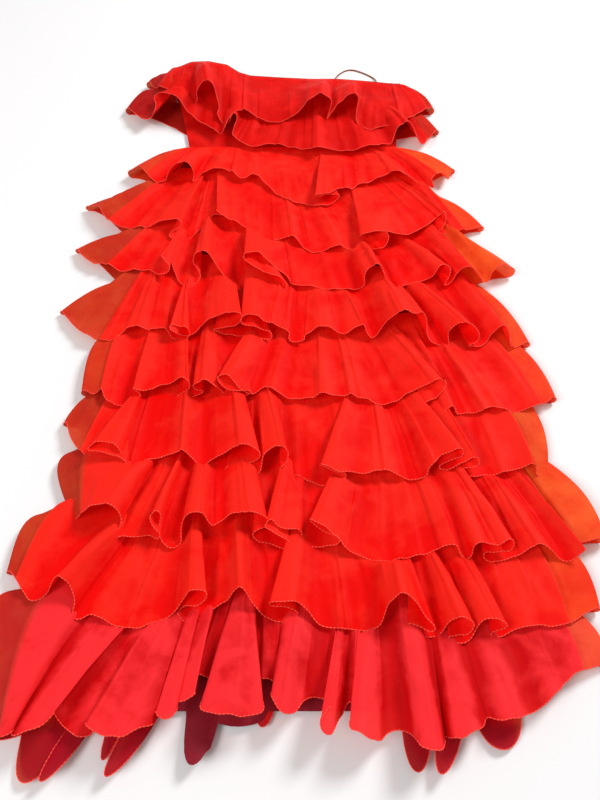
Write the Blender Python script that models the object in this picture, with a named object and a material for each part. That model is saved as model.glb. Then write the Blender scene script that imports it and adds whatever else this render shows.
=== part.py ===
"""A tiered chiffon maxi dress, strapless, laid face up on a flat surface.

The front and back panels lie on each other. Eleven flounces, each a ring of cloth that runs
right round the dress, are sewn on one below the other: two at the bust and nine on the skirt.
On the front each flounce falls in flutes, arches and knife folds that grow from its seam to its
hem. At each side it turns under in a wing, and its back half lies flat on the floor.

Sizes are in millimetres until a mesh is made: x runs across the dress, y is 0 at the waist seam
and grows towards the bust, and z is the height above the floor.
"""

import math
from collections import namedtuple

import bpy

MM = 0.001
WAIST_Y = 389.0

# Cloth: the wall's thickness, and the gaps between pieces that touch
WALL = 1.2
SEAM_GAP = 0.3
PANEL_GAP = 0.5

# Heights of each layer's middle surface, from the floor up
BACK_HEM_Z = WALL / 2
BACK_SEAM_Z = BACK_HEM_Z + WALL + SEAM_GAP
BACK_PANEL_Z = BACK_SEAM_Z + WALL + SEAM_GAP
FRONT_PANEL_Z = BACK_PANEL_Z + WALL + PANEL_GAP
FRONT_SEAM_Z = FRONT_PANEL_Z + WALL + SEAM_GAP

# The body of the dress, as the left and right edge of its panels at each height
Section = namedtuple("Section", "y left right")
BODICE = [
    Section(239, -259, 198),
    Section(190, -246, 192),
    Section(130, -228, 186),
    Section(75, -216, 182),
    Section(20, -205, 178),
    Section(0, -203, 178),
]
SKIRT = [
    Section(0, -203, 178),
    Section(-120, -238, 208),
    Section(-253, -266, 240),
    Section(-363, -270, 276),
    Section(-466, -268, 296),
    Section(-673, -268, 308),
    Section(-851, -270, 308),
    Section(-905, -268, 292),
    Section(-958, -262, 226),
]

# A fold of a flounce. root is its x at the seam; left and right are its feet and crest its top,
# all x at the hem. hem is the crest's y above the tier's hem line, rise its height over the
# resting cloth, and lobe the y of the hem halfway to the next fold. A crest beyond a foot makes
# the fold lie over on that side, as a knife fold does.
Fold = namedtuple("Fold", "root left right crest hem rise lobe")

# A wing, where the flounce turns under at the side. x and y are its tip, y above the hem line,
# mouth the height of the turn at the hem, puff what it gains halfway, bow how far its edge bows
# out, lobe the y of the hem between the tip and the first fold, and curve how far in from the tip
# the back half's hem comes down, and climb how far up the dress its edge bows.
Wing = namedtuple("Wing", "x y mouth puff bow lobe curve climb", defaults=(110, 0))

# A flounce. seam and hem are y; rest is the height of its resting hem over the front seam, and
# spread the power that the folds' height grows with, from seam to hem. rows are the shares of
# the way down that its mesh is cut at, and down the two rows between which its back half comes
# down from its seam's level to the floor.
Tier = namedtuple("Tier", "name seam hem rest spread rows down left right folds")

ROWS = (0.0, 0.38, 0.70, 1.0)

TIERS = [
    Tier("bust_flounce_upper", 236, 100, 21, 1.3, (0.0, 0.45, 0.72, 1.0), (0, 1),
         Wing(-292, 99, 16, 16, 6, 84, 160), Wing(251, 27, 16, 8, 6, 12), [
             Fold(-238, -249, -218, -233, 58, 10, 28),
             Fold(-178, -195, -149, -173, 44, 20, -14),
             Fold(-115, -137, -72, -107, -2, 14, -3),
             Fold(0, 6, 58, 38, 21, 28, 10),
             Fold(105, 66, 111, 97, 18, 32, -8),
             Fold(180, 178, 222, 196, -14, 14, 3),
         ]),
    Tier("bust_flounce_lower", 166, 19, 12, 2.4, (0.0, 0.56, 0.82, 1.0), (1, 2),
         Wing(-326, 100, 14, 10, 4, 74, 210),
         Wing(262, 44, 12, 3, 6, 34, 220), [
             Fold(-212, -274, -213, -250, 84, 32, 54),
             Fold(-124, -143, -112, -124, 44, 22, 3),
             Fold(20, 10, 39, 26, 13, 18, 0),
             Fold(52, 62, 112, 70, 17, 18, -6),
             Fold(150, 165, 216, 192, 30, 20, 6),
         ]),
    Tier("skirt_flounce_1", -3, -126, 12, 1.7, ROWS, (1, 2),
         Wing(-299, 74, 22, 8, 4, 36), Wing(276, 70, 12, 6, 6, 48), [
             Fold(-172, -233, -183, -204, 50, 24, 48),
             Fold(-116, -161, -84, -126, 48, 18, -8),
             Fold(46, 64, 94, 33, -8, 20, 19),
             Fold(122, 132, 192, 165, 33, 20, 26),
             Fold(158, 214, 242, 228, 38, 12, 42),
         ]),
    Tier("skirt_flounce_2", -102, -234, 12, 1.7, ROWS, (1, 2),
         Wing(-362, 82, 10, 8, 4, 28), Wing(306, 34, 12, 6, 10, 20), [
             Fold(-214, -262, -226, -244, 36, 12, 28),
             Fold(-178, -212, -180, -184, 52, 20, 62),
             Fold(-140, -158, -122, -150, 62, 18, 2),
             Fold(-14, -26, 13, -13, -4, 14, -28),
             Fold(64, 52, 76, 66, -22, 10, -20),
             Fold(104, 130, 156, 96, -4, 19, 8),
             Fold(170, 204, 256, 234, 38, 24, 26),
         ]),
    Tier("skirt_flounce_3", -209, -342, 12, 1.7, ROWS, (1, 2),
         Wing(-360, 85, 10, 8, 4, 40), Wing(330, 24, 24, 6, 6, 4), [
             Fold(-216, -224, -200, -210, 38, 22, 2),
             Fold(-163, -176, -120, -153, 42, 26, -4),
             Fold(-70, -93, -24, -68, 44, 32, -2),
             Fold(36, 22, 54, 40, 0, 8, -4),
             Fold(112, 92, 134, 115, 18, 25, -8),
             Fold(170, 186, 220, 204, 16, 22, 2),
             Fold(198, 242, 276, 258, 20, 18, -10),
         ]),
    Tier("skirt_flounce_4", -316, -442, 12, 1.7, ROWS, (1, 2),
         Wing(-361, 48, 8, 8, 2, -6), Wing(334, -12, 14, 6, 8, -24), [
             Fold(-243, -272, -240, -254, 8, 12, 10),
             Fold(-196, -204, -166, -184, 4, 16, 0),
             Fold(-124, -149, -90, -104, 20, 28, 6),
             Fold(-70, -74, -56, -44, 12, 15, 0),
             Fold(-30, -34, -4, -18, 9, 16, 0),
             Fold(35, 24, 62, 44, 7, 14, 2),
             Fold(90, 76, 104, 90, 13, 14, -2),
             Fold(140, 122, 178, 149, 16, 36, -19),
             Fold(196, 208, 256, 232, 2, 30, -21),
             Fold(234, 282, 308, 296, 0, 18, -28),
         ]),
    Tier("skirt_flounce_5", -418, -549, 12, 1.7, ROWS, (1, 2),
         Wing(-302, 18, 16, 8, 14, -12), Wing(350, 0, 15, 4, 12, -22), [
             Fold(-243, -262, -232, -247, 4, 12, 6),
             Fold(-188, -196, -158, -176, 14, 18, 2),
             Fold(-136, -150, -112, -131, 10, 22, 0),
             Fold(-74, -80, -62, -102, 14, 20, -2),
             Fold(-36, -54, -16, -36, 3, 12, -8),
             Fold(36, 14, 66, 52, -6, 15, -7),
             Fold(150, 160, 184, 204, 4, 24, -28),
             Fold(222, 232, 256, 244, -26, 14, -28),
             Fold(262, 272, 312, 290, -22, 14, -24),
         ]),
    Tier("skirt_flounce_6", -524, -660, 12, 1.7, ROWS, (1, 2),
         Wing(-318, 62, 12, 3, 8, 18), Wing(332, 14, 12, 2, 16, -4), [
             Fold(-238, -264, -222, -246, 22, 20, 0),
             Fold(-162, -169, -128, -148, 11, 20, -4),
             Fold(-92, -106, -58, -72, 16, 26, -8),
             Fold(-30, -42, -8, -26, 13, 24, -5),
             Fold(66, 60, 86, 30, -2, 21, -11),
             Fold(122, 104, 144, 124, -12, 10, -20),
             Fold(168, 174, 190, 212, 8, 26, -13),
             Fold(226, 236, 262, 250, -4, 16, -12),
             Fold(280, 286, 308, 296, -5, 12, -10),
         ]),
    Tier("skirt_flounce_7", -636, -774, 12, 1.7, ROWS, (1, 2),
         Wing(-304, 84, 22, 10, 10, 46), Wing(363, 11, 18, 6, 14, -12), [
             Fold(-246, -268, -222, -243, 42, 36, 2),
             Fold(-206, -204, -174, -188, 34, 22, 8),
             Fold(-170, -166, -140, -152, 40, 24, 12),
             Fold(-122, -132, -104, -118, 40, 24, 26),
             Fold(-70, -84, -30, -58, 41, 26, 14),
             Fold(54, 44, 64, 12, 26, 18, 4),
             Fold(180, 186, 214, 200, -4, 18, -14),
             Fold(236, 228, 268, 248, 0, 22, -15),
             Fold(288, 284, 320, 300, -2, 14, -15),
         ]),
    Tier("skirt_flounce_8", -748, -870, 12, 1.7, ROWS, (1, 2),
         Wing(-344, 56, 16, 10, 30, 26, 110, 14), Wing(344, 26, 14, 3, 10, 12), [
             Fold(-250, -289, -252, -270, 40, 38, 2),
             Fold(-206, -214, -190, -202, 0, 10, -1),
             Fold(-160, -132, -100, -112, 30, 34, 8),
             Fold(-66, -84, -54, -70, 28, 20, 8),
             Fold(-15, -36, 0, -16, 22, 18, -2),
             Fold(118, 88, 150, 108, 28, 40, -10),
             Fold(182, 166, 204, 184, 4, 26, -6),
             Fold(230, 218, 250, 232, 5, 22, -2),
             Fold(288, 284, 308, 296, 5, 10, 6),
         ]),
    Tier("skirt_flounce_9", -842, -974, 8, 1.1, (0.0, 0.38, 0.88, 1.0), (1, 2),
         Wing(-336, 12, 10, 8, 14, -2), Wing(334, 66, 8, 3, 10, 52), [
             Fold(-246, -312, -258, -282, -8, 20, 12),
             Fold(-216, -252, -214, -230, -8, 22, 4),
             Fold(-178, -208, -154, -184, -12, 24, 8),
             Fold(-142, -148, -128, -137, 6, 18, 26),
             Fold(-66, -102, -42, -70, 10, 26, 32),
             Fold(-16, -26, 6, -10, 11, 20, 26),
             Fold(46, 18, 36, 27, -6, 18, 18),
             Fold(82, 50, 82, 66, -8, 22, -6),
             Fold(110, 86, 114, 100, -6, 20, -4),
             Fold(142, 117, 147, 131, -20, 24, -8),
             Fold(180, 152, 192, 172, -8, 22, 4),
             Fold(232, 206, 274, 234, 14, 18, 34),
         ]),
]

# Tails of the lowest back flounce, narrow folds that reach past the front's hem. y is how far
# past the back's own hem one ends.
Tail = namedtuple("Tail", "x y width rise")
TAILS = [
    Tail(-276, -32, 44, 4),
    Tail(-240, -49, 26, 9),
    Tail(-208, -36, 18, 4),
    Tail(-180, -45, 26, 8),
    Tail(-114, -37, 32, 6),
    Tail(122, -40, 30, 8),
    Tail(156, -42, 28, 9),
    Tail(212, -24, 42, 4),
]
BACK_HEM = -4
LAST_BACK_HEM = 6

# Shape of every flounce
OVER_FROM = 0.64
LIFT_FROM = 0.12
LIFT_BY = 0.68
LEVEL_OFF = 60.0
ROOT_SHARE = 0.28
FOOT_SHARE = 0.35
BULGE = 0.10
KNIFE_TURN = 7.0
KNIFE_SPREAD = 0.6
KNIFE_ROOT = 8.0
SEAM_TURN = (FRONT_SEAM_Z - BACK_SEAM_Z) / 2
SEAM_CLEAR = 0.9
TAIL_FROM = 0.86

# From the second skirt flounce on, a seam climbs to stay this far above the scallops over it
FIRST_TUCKED = 3
TUCK = 12.0
TUCK_REACH = 14.0
TUCK_FADE = 40.0

# The bodice's front stands off its back at the upper left: its height at each x along the top
# edge, which fades out by the second y. The top edge slopes down a little to its right end.
PUFF = [(-256, 0), (-240, 24), (-215, 35), (-180, 37), (-145, 30), (-122, 14), (-100, 7), (-40, 3),
        (20, 0)]
PUFF_FROM, PUFF_TO = 232.0, 60.0
TOP_SLOPE = 12.0
SLOPE_X = (60.0, 180.0)
SLOPE_Y = (60.0, 225.0)
BUST_CLEAR = {"bust_flounce_upper": 3.2, "bust_flounce_lower": 3.5}

# How finely the solids are cut
FOLD_STEPS = (0.0, 0.17, 0.34, 0.5, 0.66, 0.83)
LOBE_STEP = 42.0
BACK_STEP = 90.0
TURN_STEPS = 3

# The hanging loop: a thin cord from the top edge, which lies on the floor beyond it
LOOP_THICK = 2.6
LOOP_ROUTE = [
    (72, 239.4, 4.45), (72, 245, 4.3), (75, 257, 2.8), (83, 271, 1.6), (95, 283, 1.4),
    (109, 287, 1.4), (124, 282, 1.4), (139, 273, 1.4), (150, 262, 1.7), (154, 250, 3.2),
    (153, 244, 4.3), (152, 239.4, 4.45),
]
LOOP_STEP = 6.5

CHIFFON = ((0.80, 0.045, 0.02), 0.62)
LINING = ((0.33, 0.012, 0.03), 0.55)
CORD = ((0.36, 0.10, 0.05), 0.5)

# A column of a flounce: where it leaves the seam, where it meets the hem, how far it leans over
# beyond that, how high it lifts, how much of the wing's bow it takes, and the power its height
# grows with where that isn't the flounce's own
Column = namedtuple("Column", "root x y over lift bow spread seam climb",
                    defaults=(None, None, 0.0))

# A column of its back half: the same, with how far a tail reaches on past the hem, and its rise
BackColumn = namedtuple("BackColumn", "root x y reach lift")


def mix(a, b, share):
    return a + (b - a) * share


def ease(share):
    """Runs smoothly from 0 to 1, and stays there."""
    t = min(max(share, 0.0), 1.0)
    return t * t * (3 - 2 * t)


def body_lift(x, y):
    """How far the bodice's front stands off its resting level."""
    height = 0.0
    for (x0, z0), (x1, z1) in zip(PUFF, PUFF[1:]):
        if x0 <= x <= x1:
            height = mix(z0, z1, (x - x0) / (x1 - x0))
    return height * ease((y - PUFF_TO) / (PUFF_FROM - PUFF_TO))


def edge_at(sections, y, side):
    """The x of the panel's left or right edge at this y."""
    for upper, lower in zip(sections, sections[1:]):
        if y >= lower.y:
            share = (upper.y - y) / max(upper.y - lower.y, 1e-6)
            return mix(getattr(upper, side), getattr(lower, side), min(max(share, 0.0), 1.0))
    return getattr(sections[-1], side)


def body_edge(y, side):
    return edge_at(BODICE if y >= 0 else SKIRT, y, side)


def lobe_columns(start, end, middle_y, bow_from=None):
    """The resting cloth between two folds, its hem a shallow scallop."""
    count = max(1, round(abs(end.x - start.x) / LOBE_STEP))
    columns = []
    for k in range(count):
        t = k / count
        sag = 4 * t * (1 - t) * (middle_y - (start.y + end.y) / 2)
        tip = end if bow_from == "end" else start
        share = {"start": (1 - t) ** 2, "end": t ** 2}.get(bow_from, 0.0)
        columns.append(Column(mix(start.root, end.root, t), mix(start.x, end.x, t),
                              mix(start.y, end.y, t) + sag, 0.0, 0.0, tip.bow * share,
                              climb=tip.climb * share))
    return columns


def arch_columns(fold, left_y, right_y, crest_y, roots):
    """A fold that stands up between its feet, from its left foot to just before its right one."""
    middle = (fold.left + fold.right) / 2
    width = fold.right - fold.left
    columns = []
    for s in FOLD_STEPS:
        bump = math.sin(math.pi * s) ** 2
        swell = -BULGE * width * math.sin(2 * math.pi * s)
        columns.append(Column(
            mix(roots[0], roots[1], s),
            mix(fold.left, fold.right, s),
            mix(left_y, right_y, s) + (crest_y - (left_y + right_y) / 2) * bump,
            (fold.crest - middle) * bump + swell,
            fold.rise * math.sin(math.pi * s) ** 1.3,
            0.0))
    return columns


def knife_columns(fold, left_y, right_y, crest_y, roots):
    """A fold that lies over past one foot, as a pressed pleat does: a tight turn at that foot,
    the under layer out to the crest, the crest, and the top layer back to the other foot."""
    to_left = fold.crest < fold.left
    near, far = (fold.left, fold.right) if to_left else (fold.right, fold.left)
    lean = -1 if to_left else 1
    path = [
        (near, 0.0, 0.0),
        (near - lean * 0.5, KNIFE_TURN * 0.5, 0.0),
        (near + lean * 3, KNIFE_TURN, 0.2),
        (fold.crest - lean * 5, mix(KNIFE_TURN, fold.rise, 0.1), 0.9),
        (fold.crest, mix(KNIFE_TURN, fold.rise, 0.55), 1.0),
        (fold.crest - lean * 7, fold.rise, 0.9),
        (mix(near, far, 0.4), fold.rise * 0.75, 0.3),
        (mix(near, far, 0.8), fold.rise * 0.3, 0.0),
    ]
    if not to_left:
        path = [(far, 0.0, 0.0)] + path[:0:-1]
    columns = []
    for k, (x, lift, bump) in enumerate(path):
        s = k / len(path)
        even = mix(fold.left, fold.right, s)
        y = mix(left_y, right_y, s) + (crest_y - (left_y + right_y) / 2) * bump
        columns.append(Column(mix(roots[0], roots[1], s), even, y, x - even, lift, 0.0,
                              KNIFE_SPREAD))
    return columns


def fold_columns(fold, left_y, right_y, crest_y, roots):
    shape = arch_columns if fold.left <= fold.crest <= fold.right else knife_columns
    return shape(fold, left_y, right_y, crest_y, roots)


def root_width(fold):
    """How much of the seam a fold takes up."""
    if fold.left <= fold.crest <= fold.right:
        return ROOT_SHARE * (fold.right - fold.left)
    return 2 * KNIFE_ROOT


def front_columns(tier):
    """The front half of a flounce, from its left wing's tip to its right one's."""
    seam_left = body_edge(tier.seam, "left") - SEAM_TURN - SEAM_CLEAR
    seam_right = body_edge(tier.seam, "right") + SEAM_TURN + SEAM_CLEAR
    tip_left = Column(seam_left, tier.left.x, tier.hem + tier.left.y, 0.0, 0.0,
                      -tier.left.bow, climb=tier.left.climb)
    tip_right = Column(seam_right, tier.right.x, tier.hem + tier.right.y, 0.0, 0.0,
                       tier.right.bow, climb=tier.right.climb)
    columns, before, lobe = [], tip_left, tier.left.lobe
    for fold in tier.folds:
        half_root = root_width(fold) / 2
        left_y = tier.hem + mix(lobe, fold.hem, FOOT_SHARE)
        right_y = tier.hem + mix(fold.lobe, fold.hem, FOOT_SHARE)
        left_foot = Column(fold.root - half_root, fold.left, left_y, 0.0, 0.0, 0.0)
        bow_from = "start" if before is tip_left else None
        columns += lobe_columns(before, left_foot, tier.hem + lobe, bow_from)
        columns += fold_columns(fold, left_y, right_y, tier.hem + fold.hem,
                                (fold.root - half_root, fold.root + half_root))
        before = Column(fold.root + half_root, fold.right, right_y, 0.0, 0.0, 0.0)
        lobe = fold.lobe
    last_lobe = tier.hem + mix(tier.folds[-1].lobe, tier.right.lobe, 0.5)
    columns += lobe_columns(before, tip_right, last_lobe, "end")
    return tuck_under(tier, columns + [tip_right])


def highest_hem(columns, x):
    """The highest hem of these columns near this x, or None where they have none."""
    found = []
    for a, b in zip(columns, columns[1:]):
        ax, bx = a.x + a.over, b.x + b.over
        for at in (x - TUCK_REACH, x, x + TUCK_REACH):
            if min(ax, bx) <= at <= max(ax, bx):
                found.append(mix(a.y, b.y, (at - ax) / (bx - ax) if bx != ax else 0.0))
    return max(found, default=None)


def tuck_under(tier, columns):
    """Starts the skirt's flounces high enough to stay under the scallops of the hem above."""
    place = TIERS.index(tier)
    if place < FIRST_TUCKED:
        return columns
    above = front_columns(TIERS[place - 1])
    tucked = []
    for c in columns:
        hem = highest_hem(above, c.root)
        inward = min(c.root - columns[0].root, columns[-1].root - c.root)
        more = max((hem or tier.seam) + TUCK - tier.seam, 0.0) * ease(inward / TUCK_FADE)
        tucked.append(c._replace(seam=tier.seam + more))
    return tucked


def back_hem(tier, x):
    """The y of the back half's hem at this x, which meets the wing tips at both ends."""
    drop = LAST_BACK_HEM if tier is TIERS[-1] else BACK_HEM
    y = tier.hem + drop
    for wing, inward in ((tier.left, x - tier.left.x), (tier.right, tier.right.x - x)):
        y += (wing.y - drop) * (1 - ease(inward / wing.curve))
    return y


def back_columns(tier, right_tip, left_tip):
    """The back half, flat on the floor, from the right wing's tip to the left one's."""
    width = right_tip.x - left_tip.x
    steps = max(3, round(width / BACK_STEP))
    places = [(mix(right_tip.x, left_tip.x, k / steps), 0.0, 0.0) for k in range(1, steps)]
    if tier is TIERS[-1]:
        places = [p for p in places if all(abs(p[0] - t.x) > 0.6 * t.width for t in TAILS)]
        for tail in TAILS:
            for s in (-0.5, -0.25, 0.0, 0.25, 0.5):
                bump = math.cos(math.pi * s) ** 2
                places.append((tail.x + s * tail.width, tail.y * bump ** 0.6, tail.rise * bump))
        places.sort(reverse=True)
    return [BackColumn(mix(left_tip.root, right_tip.root, (x - left_tip.x) / width), x,
                       back_hem(tier, x), reach, lift) for x, reach, lift in places]


def back_level(tier, v):
    """The back half's height, which comes down from its seam's level to the floor."""
    start, end = tier.rows[tier.down[0]], tier.rows[tier.down[1]]
    return mix(BACK_SEAM_Z, BACK_HEM_Z, ease((v - start) / (end - start)))


def tail_share(v):
    return ease((v - TAIL_FROM) / (1 - TAIL_FROM))


def turn_radius(wing, v):
    return mix(SEAM_TURN, wing.mouth / 2, v) + wing.puff / 2 * math.sin(math.pi * v)


def along(tier, column, v):
    """The plan position of a column at share v of the way from seam to hem."""
    lean = max(v - OVER_FROM, 0.0) / (1 - OVER_FROM)
    x = mix(column.root, column.x, v) + column.over * lean
    x += column.bow * math.sin(math.pi * v)
    start = tier.seam if column.seam is None else column.seam
    return x, mix(start, column.y, v) + column.climb * math.sin(math.pi * v)


def front_point(tier, column, v, bounds):
    x, y = along(tier, column, v)
    stack = mix(FRONT_SEAM_Z, FRONT_SEAM_Z + tier.rest, ease((v - LIFT_FROM) / (LIFT_BY - LIFT_FROM)))
    left_top = back_level(tier, v) + 2 * turn_radius(tier.left, v)
    right_top = back_level(tier, v) + 2 * turn_radius(tier.right, v)
    from_left = ease((x - bounds[0]) / LEVEL_OFF)
    from_right = ease((bounds[1] - x) / LEVEL_OFF)
    z = mix(left_top, mix(right_top, stack, from_right), from_left)
    z += body_lift(x, y) + BUST_CLEAR.get(tier.name, 0.0) * min(from_left, from_right)
    return x, y, z + column.lift * v ** (column.spread or tier.spread)


def back_point(tier, column, v):
    tail = tail_share(v)
    return (mix(column.root, column.x, v), mix(tier.seam, column.y, v) + column.reach * tail,
            back_level(tier, v) + column.lift * tail)


def flounce_rings(tier):
    """The flounce's middle surface: for each row from seam to hem, a closed loop of points."""
    front = front_columns(tier)
    back = back_columns(tier, front[-1], front[0])
    rings = []
    for v in tier.rows:
        left_x, left_y = along(tier, front[0], v)
        right_x, right_y = along(tier, front[-1], v)
        ring = [front_point(tier, c, v, (left_x, right_x)) for c in front]
        for wing, x, y, side, steps in (
                (tier.right, right_x, right_y, 1, range(1, TURN_STEPS + 1)),
                (tier.left, left_x, left_y, -1, range(TURN_STEPS, 0, -1))):
            if side < 0:
                ring += [back_point(tier, c, v) for c in back]
                ring.append((left_x, left_y, back_level(tier, v)))
            for k in steps:
                angle = math.pi * k / (TURN_STEPS + 1)
                radius = turn_radius(wing, v)
                ring.append((x + side * radius * math.sin(angle), y,
                             back_level(tier, v) + radius * (1 + math.cos(angle))))
            if side > 0:
                ring.append((right_x, right_y, back_level(tier, v)))
        rings.append(ring)
    return rings


def to_frame(point):
    """This place in metres, once the top edge has been sloped down to its right end."""
    x, y, z = point
    y -= TOP_SLOPE * ease((x - SLOPE_X[0]) / (SLOPE_X[1] - SLOPE_X[0])) * ease(
        (y - SLOPE_Y[0]) / (SLOPE_Y[1] - SLOPE_Y[0]))
    return x * MM, (y + WAIST_Y) * MM, z * MM


def material(name, finish):
    made = bpy.data.materials.new(name)
    made.use_nodes = True
    shader = made.node_tree.nodes["Principled BSDF"]
    shader.inputs["Base Color"].default_value = (*finish[0], 1.0)
    shader.inputs["Roughness"].default_value = finish[1]
    shader.inputs["Metallic"].default_value = 0.0
    return made


def add_cloth(name, points, faces, finish):
    """A named wall of cloth on this middle surface."""
    mesh = bpy.data.meshes.new(name)
    mesh.from_pydata([to_frame(p) for p in points], [], faces)
    mesh.shade_smooth()
    mesh.materials.append(material(name + "_cloth", finish))
    cloth = bpy.data.objects.new(name, mesh)
    bpy.context.scene.collection.objects.link(cloth)
    wall = cloth.modifiers.new("wall", "SOLIDIFY")
    wall.thickness = WALL * MM
    wall.offset = 0.0
    return cloth


def add_flounce(tier):
    rings = flounce_rings(tier)
    size = len(rings[0])
    points = [p for ring in rings for p in ring]
    faces = []
    for r in range(len(rings) - 1):
        for c in range(size):
            n = (c + 1) % size
            above, below, last, first = (r * size + c, (r + 1) * size + c,
                                         (r + 1) * size + n, r * size + n)
            if math.dist(points[above], points[last]) < math.dist(points[below], points[first]):
                faces += [(above, below, last), (above, last, first)]
            else:
                faces += [(above, below, first), (below, last, first)]
    return add_cloth(tier.name, points, faces, CHIFFON)


def add_panel(name, sections, z, top_gap, finish, stations=(0.0, 1.0), lift=None):
    """One layer of the dress's body, cut to its sections, just below the seam above it."""
    points, faces = [], []
    size = len(stations)
    for k, section in enumerate(sections):
        y = section.y - (top_gap if k == 0 else 0.0)
        for share in stations:
            x = mix(section.left, section.right, share)
            points.append((x, y, z + (lift(x, y) if lift else 0.0)))
        for c in range(size - 1 if k else 0):
            a, b = (k - 1) * size + c, k * size + c
            faces += [(a, b, b + 1), (a, b + 1, a + 1)]
    return add_cloth(name, points, faces, finish)


def bodice_stations():
    """Where the front bodice is cut across, which is at the columns of the flounce on it."""
    top = BODICE[0]
    inside = sorted(c.root for c in front_columns(TIERS[0]) if top.left + 2 < c.root < top.right - 2)
    places = [top.left] + inside + [top.right]
    return [(x - top.left) / (top.right - top.left) for x in places]


def smooth_route(knots, step):
    """Points at an even step along a smooth curve through the knots."""
    dense = []
    for k in range(len(knots) - 1):
        p0, p1 = knots[max(k - 1, 0)], knots[k]
        p2, p3 = knots[k + 1], knots[min(k + 2, len(knots) - 1)]
        for j in range(12):
            t = j / 12
            dense.append(tuple(
                0.5 * (2 * b + (c - a) * t + (2 * a - 5 * b + 4 * c - d) * t ** 2
                       + (3 * b - a - 3 * c + d) * t ** 3)
                for a, b, c, d in zip(p0, p1, p2, p3)))
    dense.append(knots[-1])
    lengths = [0.0]
    for a, b in zip(dense, dense[1:]):
        lengths.append(lengths[-1] + math.dist(a, b))
    count = round(lengths[-1] / step)
    route, at = [], 0
    for k in range(count + 1):
        wanted = lengths[-1] * k / count
        while at < len(dense) - 2 and lengths[at + 1] < wanted:
            at += 1
        span = max(lengths[at + 1] - lengths[at], 1e-9)
        share = min(max((wanted - lengths[at]) / span, 0.0), 1.0)
        route.append(tuple(mix(a, b, share) for a, b in zip(dense[at], dense[at + 1])))
    return route


def add_hanging_loop():
    curve = bpy.data.curves.new("hanging_loop", "CURVE")
    curve.dimensions = "3D"
    curve.bevel_depth = LOOP_THICK / 2 * MM
    curve.bevel_resolution = 2
    curve.use_fill_caps = True
    route = smooth_route(LOOP_ROUTE, LOOP_STEP)
    spline = curve.splines.new("POLY")
    spline.points.add(len(route) - 1)
    for point, place in zip(spline.points, route):
        point.co = (*to_frame(place), 1.0)
    curve.materials.append(material("loop_cord", CORD))
    loop = bpy.data.objects.new("hanging_loop", curve)
    bpy.context.scene.collection.objects.link(loop)
    return loop


def main():
    for old in list(bpy.data.objects):
        bpy.data.objects.remove(old)
    add_panel("bodice_back", BODICE, BACK_PANEL_Z, 0.0, CHIFFON)
    add_panel("bodice_front", BODICE, FRONT_PANEL_Z, 0.0, CHIFFON, bodice_stations(), body_lift)
    add_panel("skirt_back", SKIRT, BACK_PANEL_Z, WALL / 2 + SEAM_GAP, LINING)
    add_panel("skirt_front", SKIRT, FRONT_PANEL_Z, WALL / 2 + SEAM_GAP, LINING)
    for tier in TIERS:
        add_flounce(tier)
    add_hanging_loop()


main()
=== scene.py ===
"""A tiered chiffon maxi dress, strapless, laid face up on a pale floor.

Each cloth is a thin surface that follows the same named values as its solid, cut much finer, with
the small flutes, creases, rolled hems and stitching that the solids leave out.
"""

import math
from collections import namedtuple

import bpy
import numpy as np
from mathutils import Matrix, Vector


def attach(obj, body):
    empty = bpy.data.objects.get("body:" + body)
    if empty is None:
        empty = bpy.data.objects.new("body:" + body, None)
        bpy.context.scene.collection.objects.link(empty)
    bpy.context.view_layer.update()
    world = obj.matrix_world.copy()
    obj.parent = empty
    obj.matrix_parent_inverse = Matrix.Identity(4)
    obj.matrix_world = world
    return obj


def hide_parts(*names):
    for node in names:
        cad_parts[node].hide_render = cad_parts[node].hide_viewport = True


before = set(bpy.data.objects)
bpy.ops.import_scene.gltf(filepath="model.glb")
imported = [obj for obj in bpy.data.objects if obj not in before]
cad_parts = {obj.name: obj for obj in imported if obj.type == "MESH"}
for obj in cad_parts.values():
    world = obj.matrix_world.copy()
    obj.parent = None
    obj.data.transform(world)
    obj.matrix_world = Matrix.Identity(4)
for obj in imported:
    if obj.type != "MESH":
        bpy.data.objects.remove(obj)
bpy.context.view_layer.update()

MM = 0.001
WAIST_Y = 389.0

# Cloth: the wall's thickness, and the gaps between pieces that touch
WALL = 1.2
SEAM_GAP = 0.3
PANEL_GAP = 0.5

# Heights of each layer's middle surface, from the floor up
BACK_HEM_Z = WALL / 2
BACK_SEAM_Z = BACK_HEM_Z + WALL + SEAM_GAP
BACK_PANEL_Z = BACK_SEAM_Z + WALL + SEAM_GAP
FRONT_PANEL_Z = BACK_PANEL_Z + WALL + PANEL_GAP
FRONT_SEAM_Z = FRONT_PANEL_Z + WALL + SEAM_GAP

# The body of the dress, as the left and right edge of its panels at each height
Section = namedtuple("Section", "y left right")
BODICE = [
    Section(239, -259, 198),
    Section(190, -246, 192),
    Section(130, -228, 186),
    Section(75, -216, 182),
    Section(20, -205, 178),
    Section(0, -203, 178),
]
SKIRT = [
    Section(0, -203, 178),
    Section(-120, -238, 208),
    Section(-253, -266, 240),
    Section(-363, -270, 276),
    Section(-466, -268, 296),
    Section(-673, -268, 308),
    Section(-851, -270, 308),
    Section(-905, -268, 292),
    Section(-958, -262, 226),
]

# A wing, where the flounce turns under at the side: mouth is the height of the turn at the hem,
# puff what it gains halfway, bow how far its edge bows out, curve how far in from the tip the back
# half's hem comes down, climb how far up the dress its edge bows, high how near the seam it bows
# most, below 1 for nearer, and fade how far in the bow reaches.
Wing = namedtuple("Wing", "mouth puff bow curve climb high fade", defaults=(110, 0, 1.0, 90.0))

# A flounce. seam and hem are y, rest is the height of its resting hem over the front seam, and
# down holds the two shares of the drop between which its back half comes down to the floor.
Tier = namedtuple("Tier", "name seam hem rest down left right")
DOWN = (0.38, 0.70)

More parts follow.
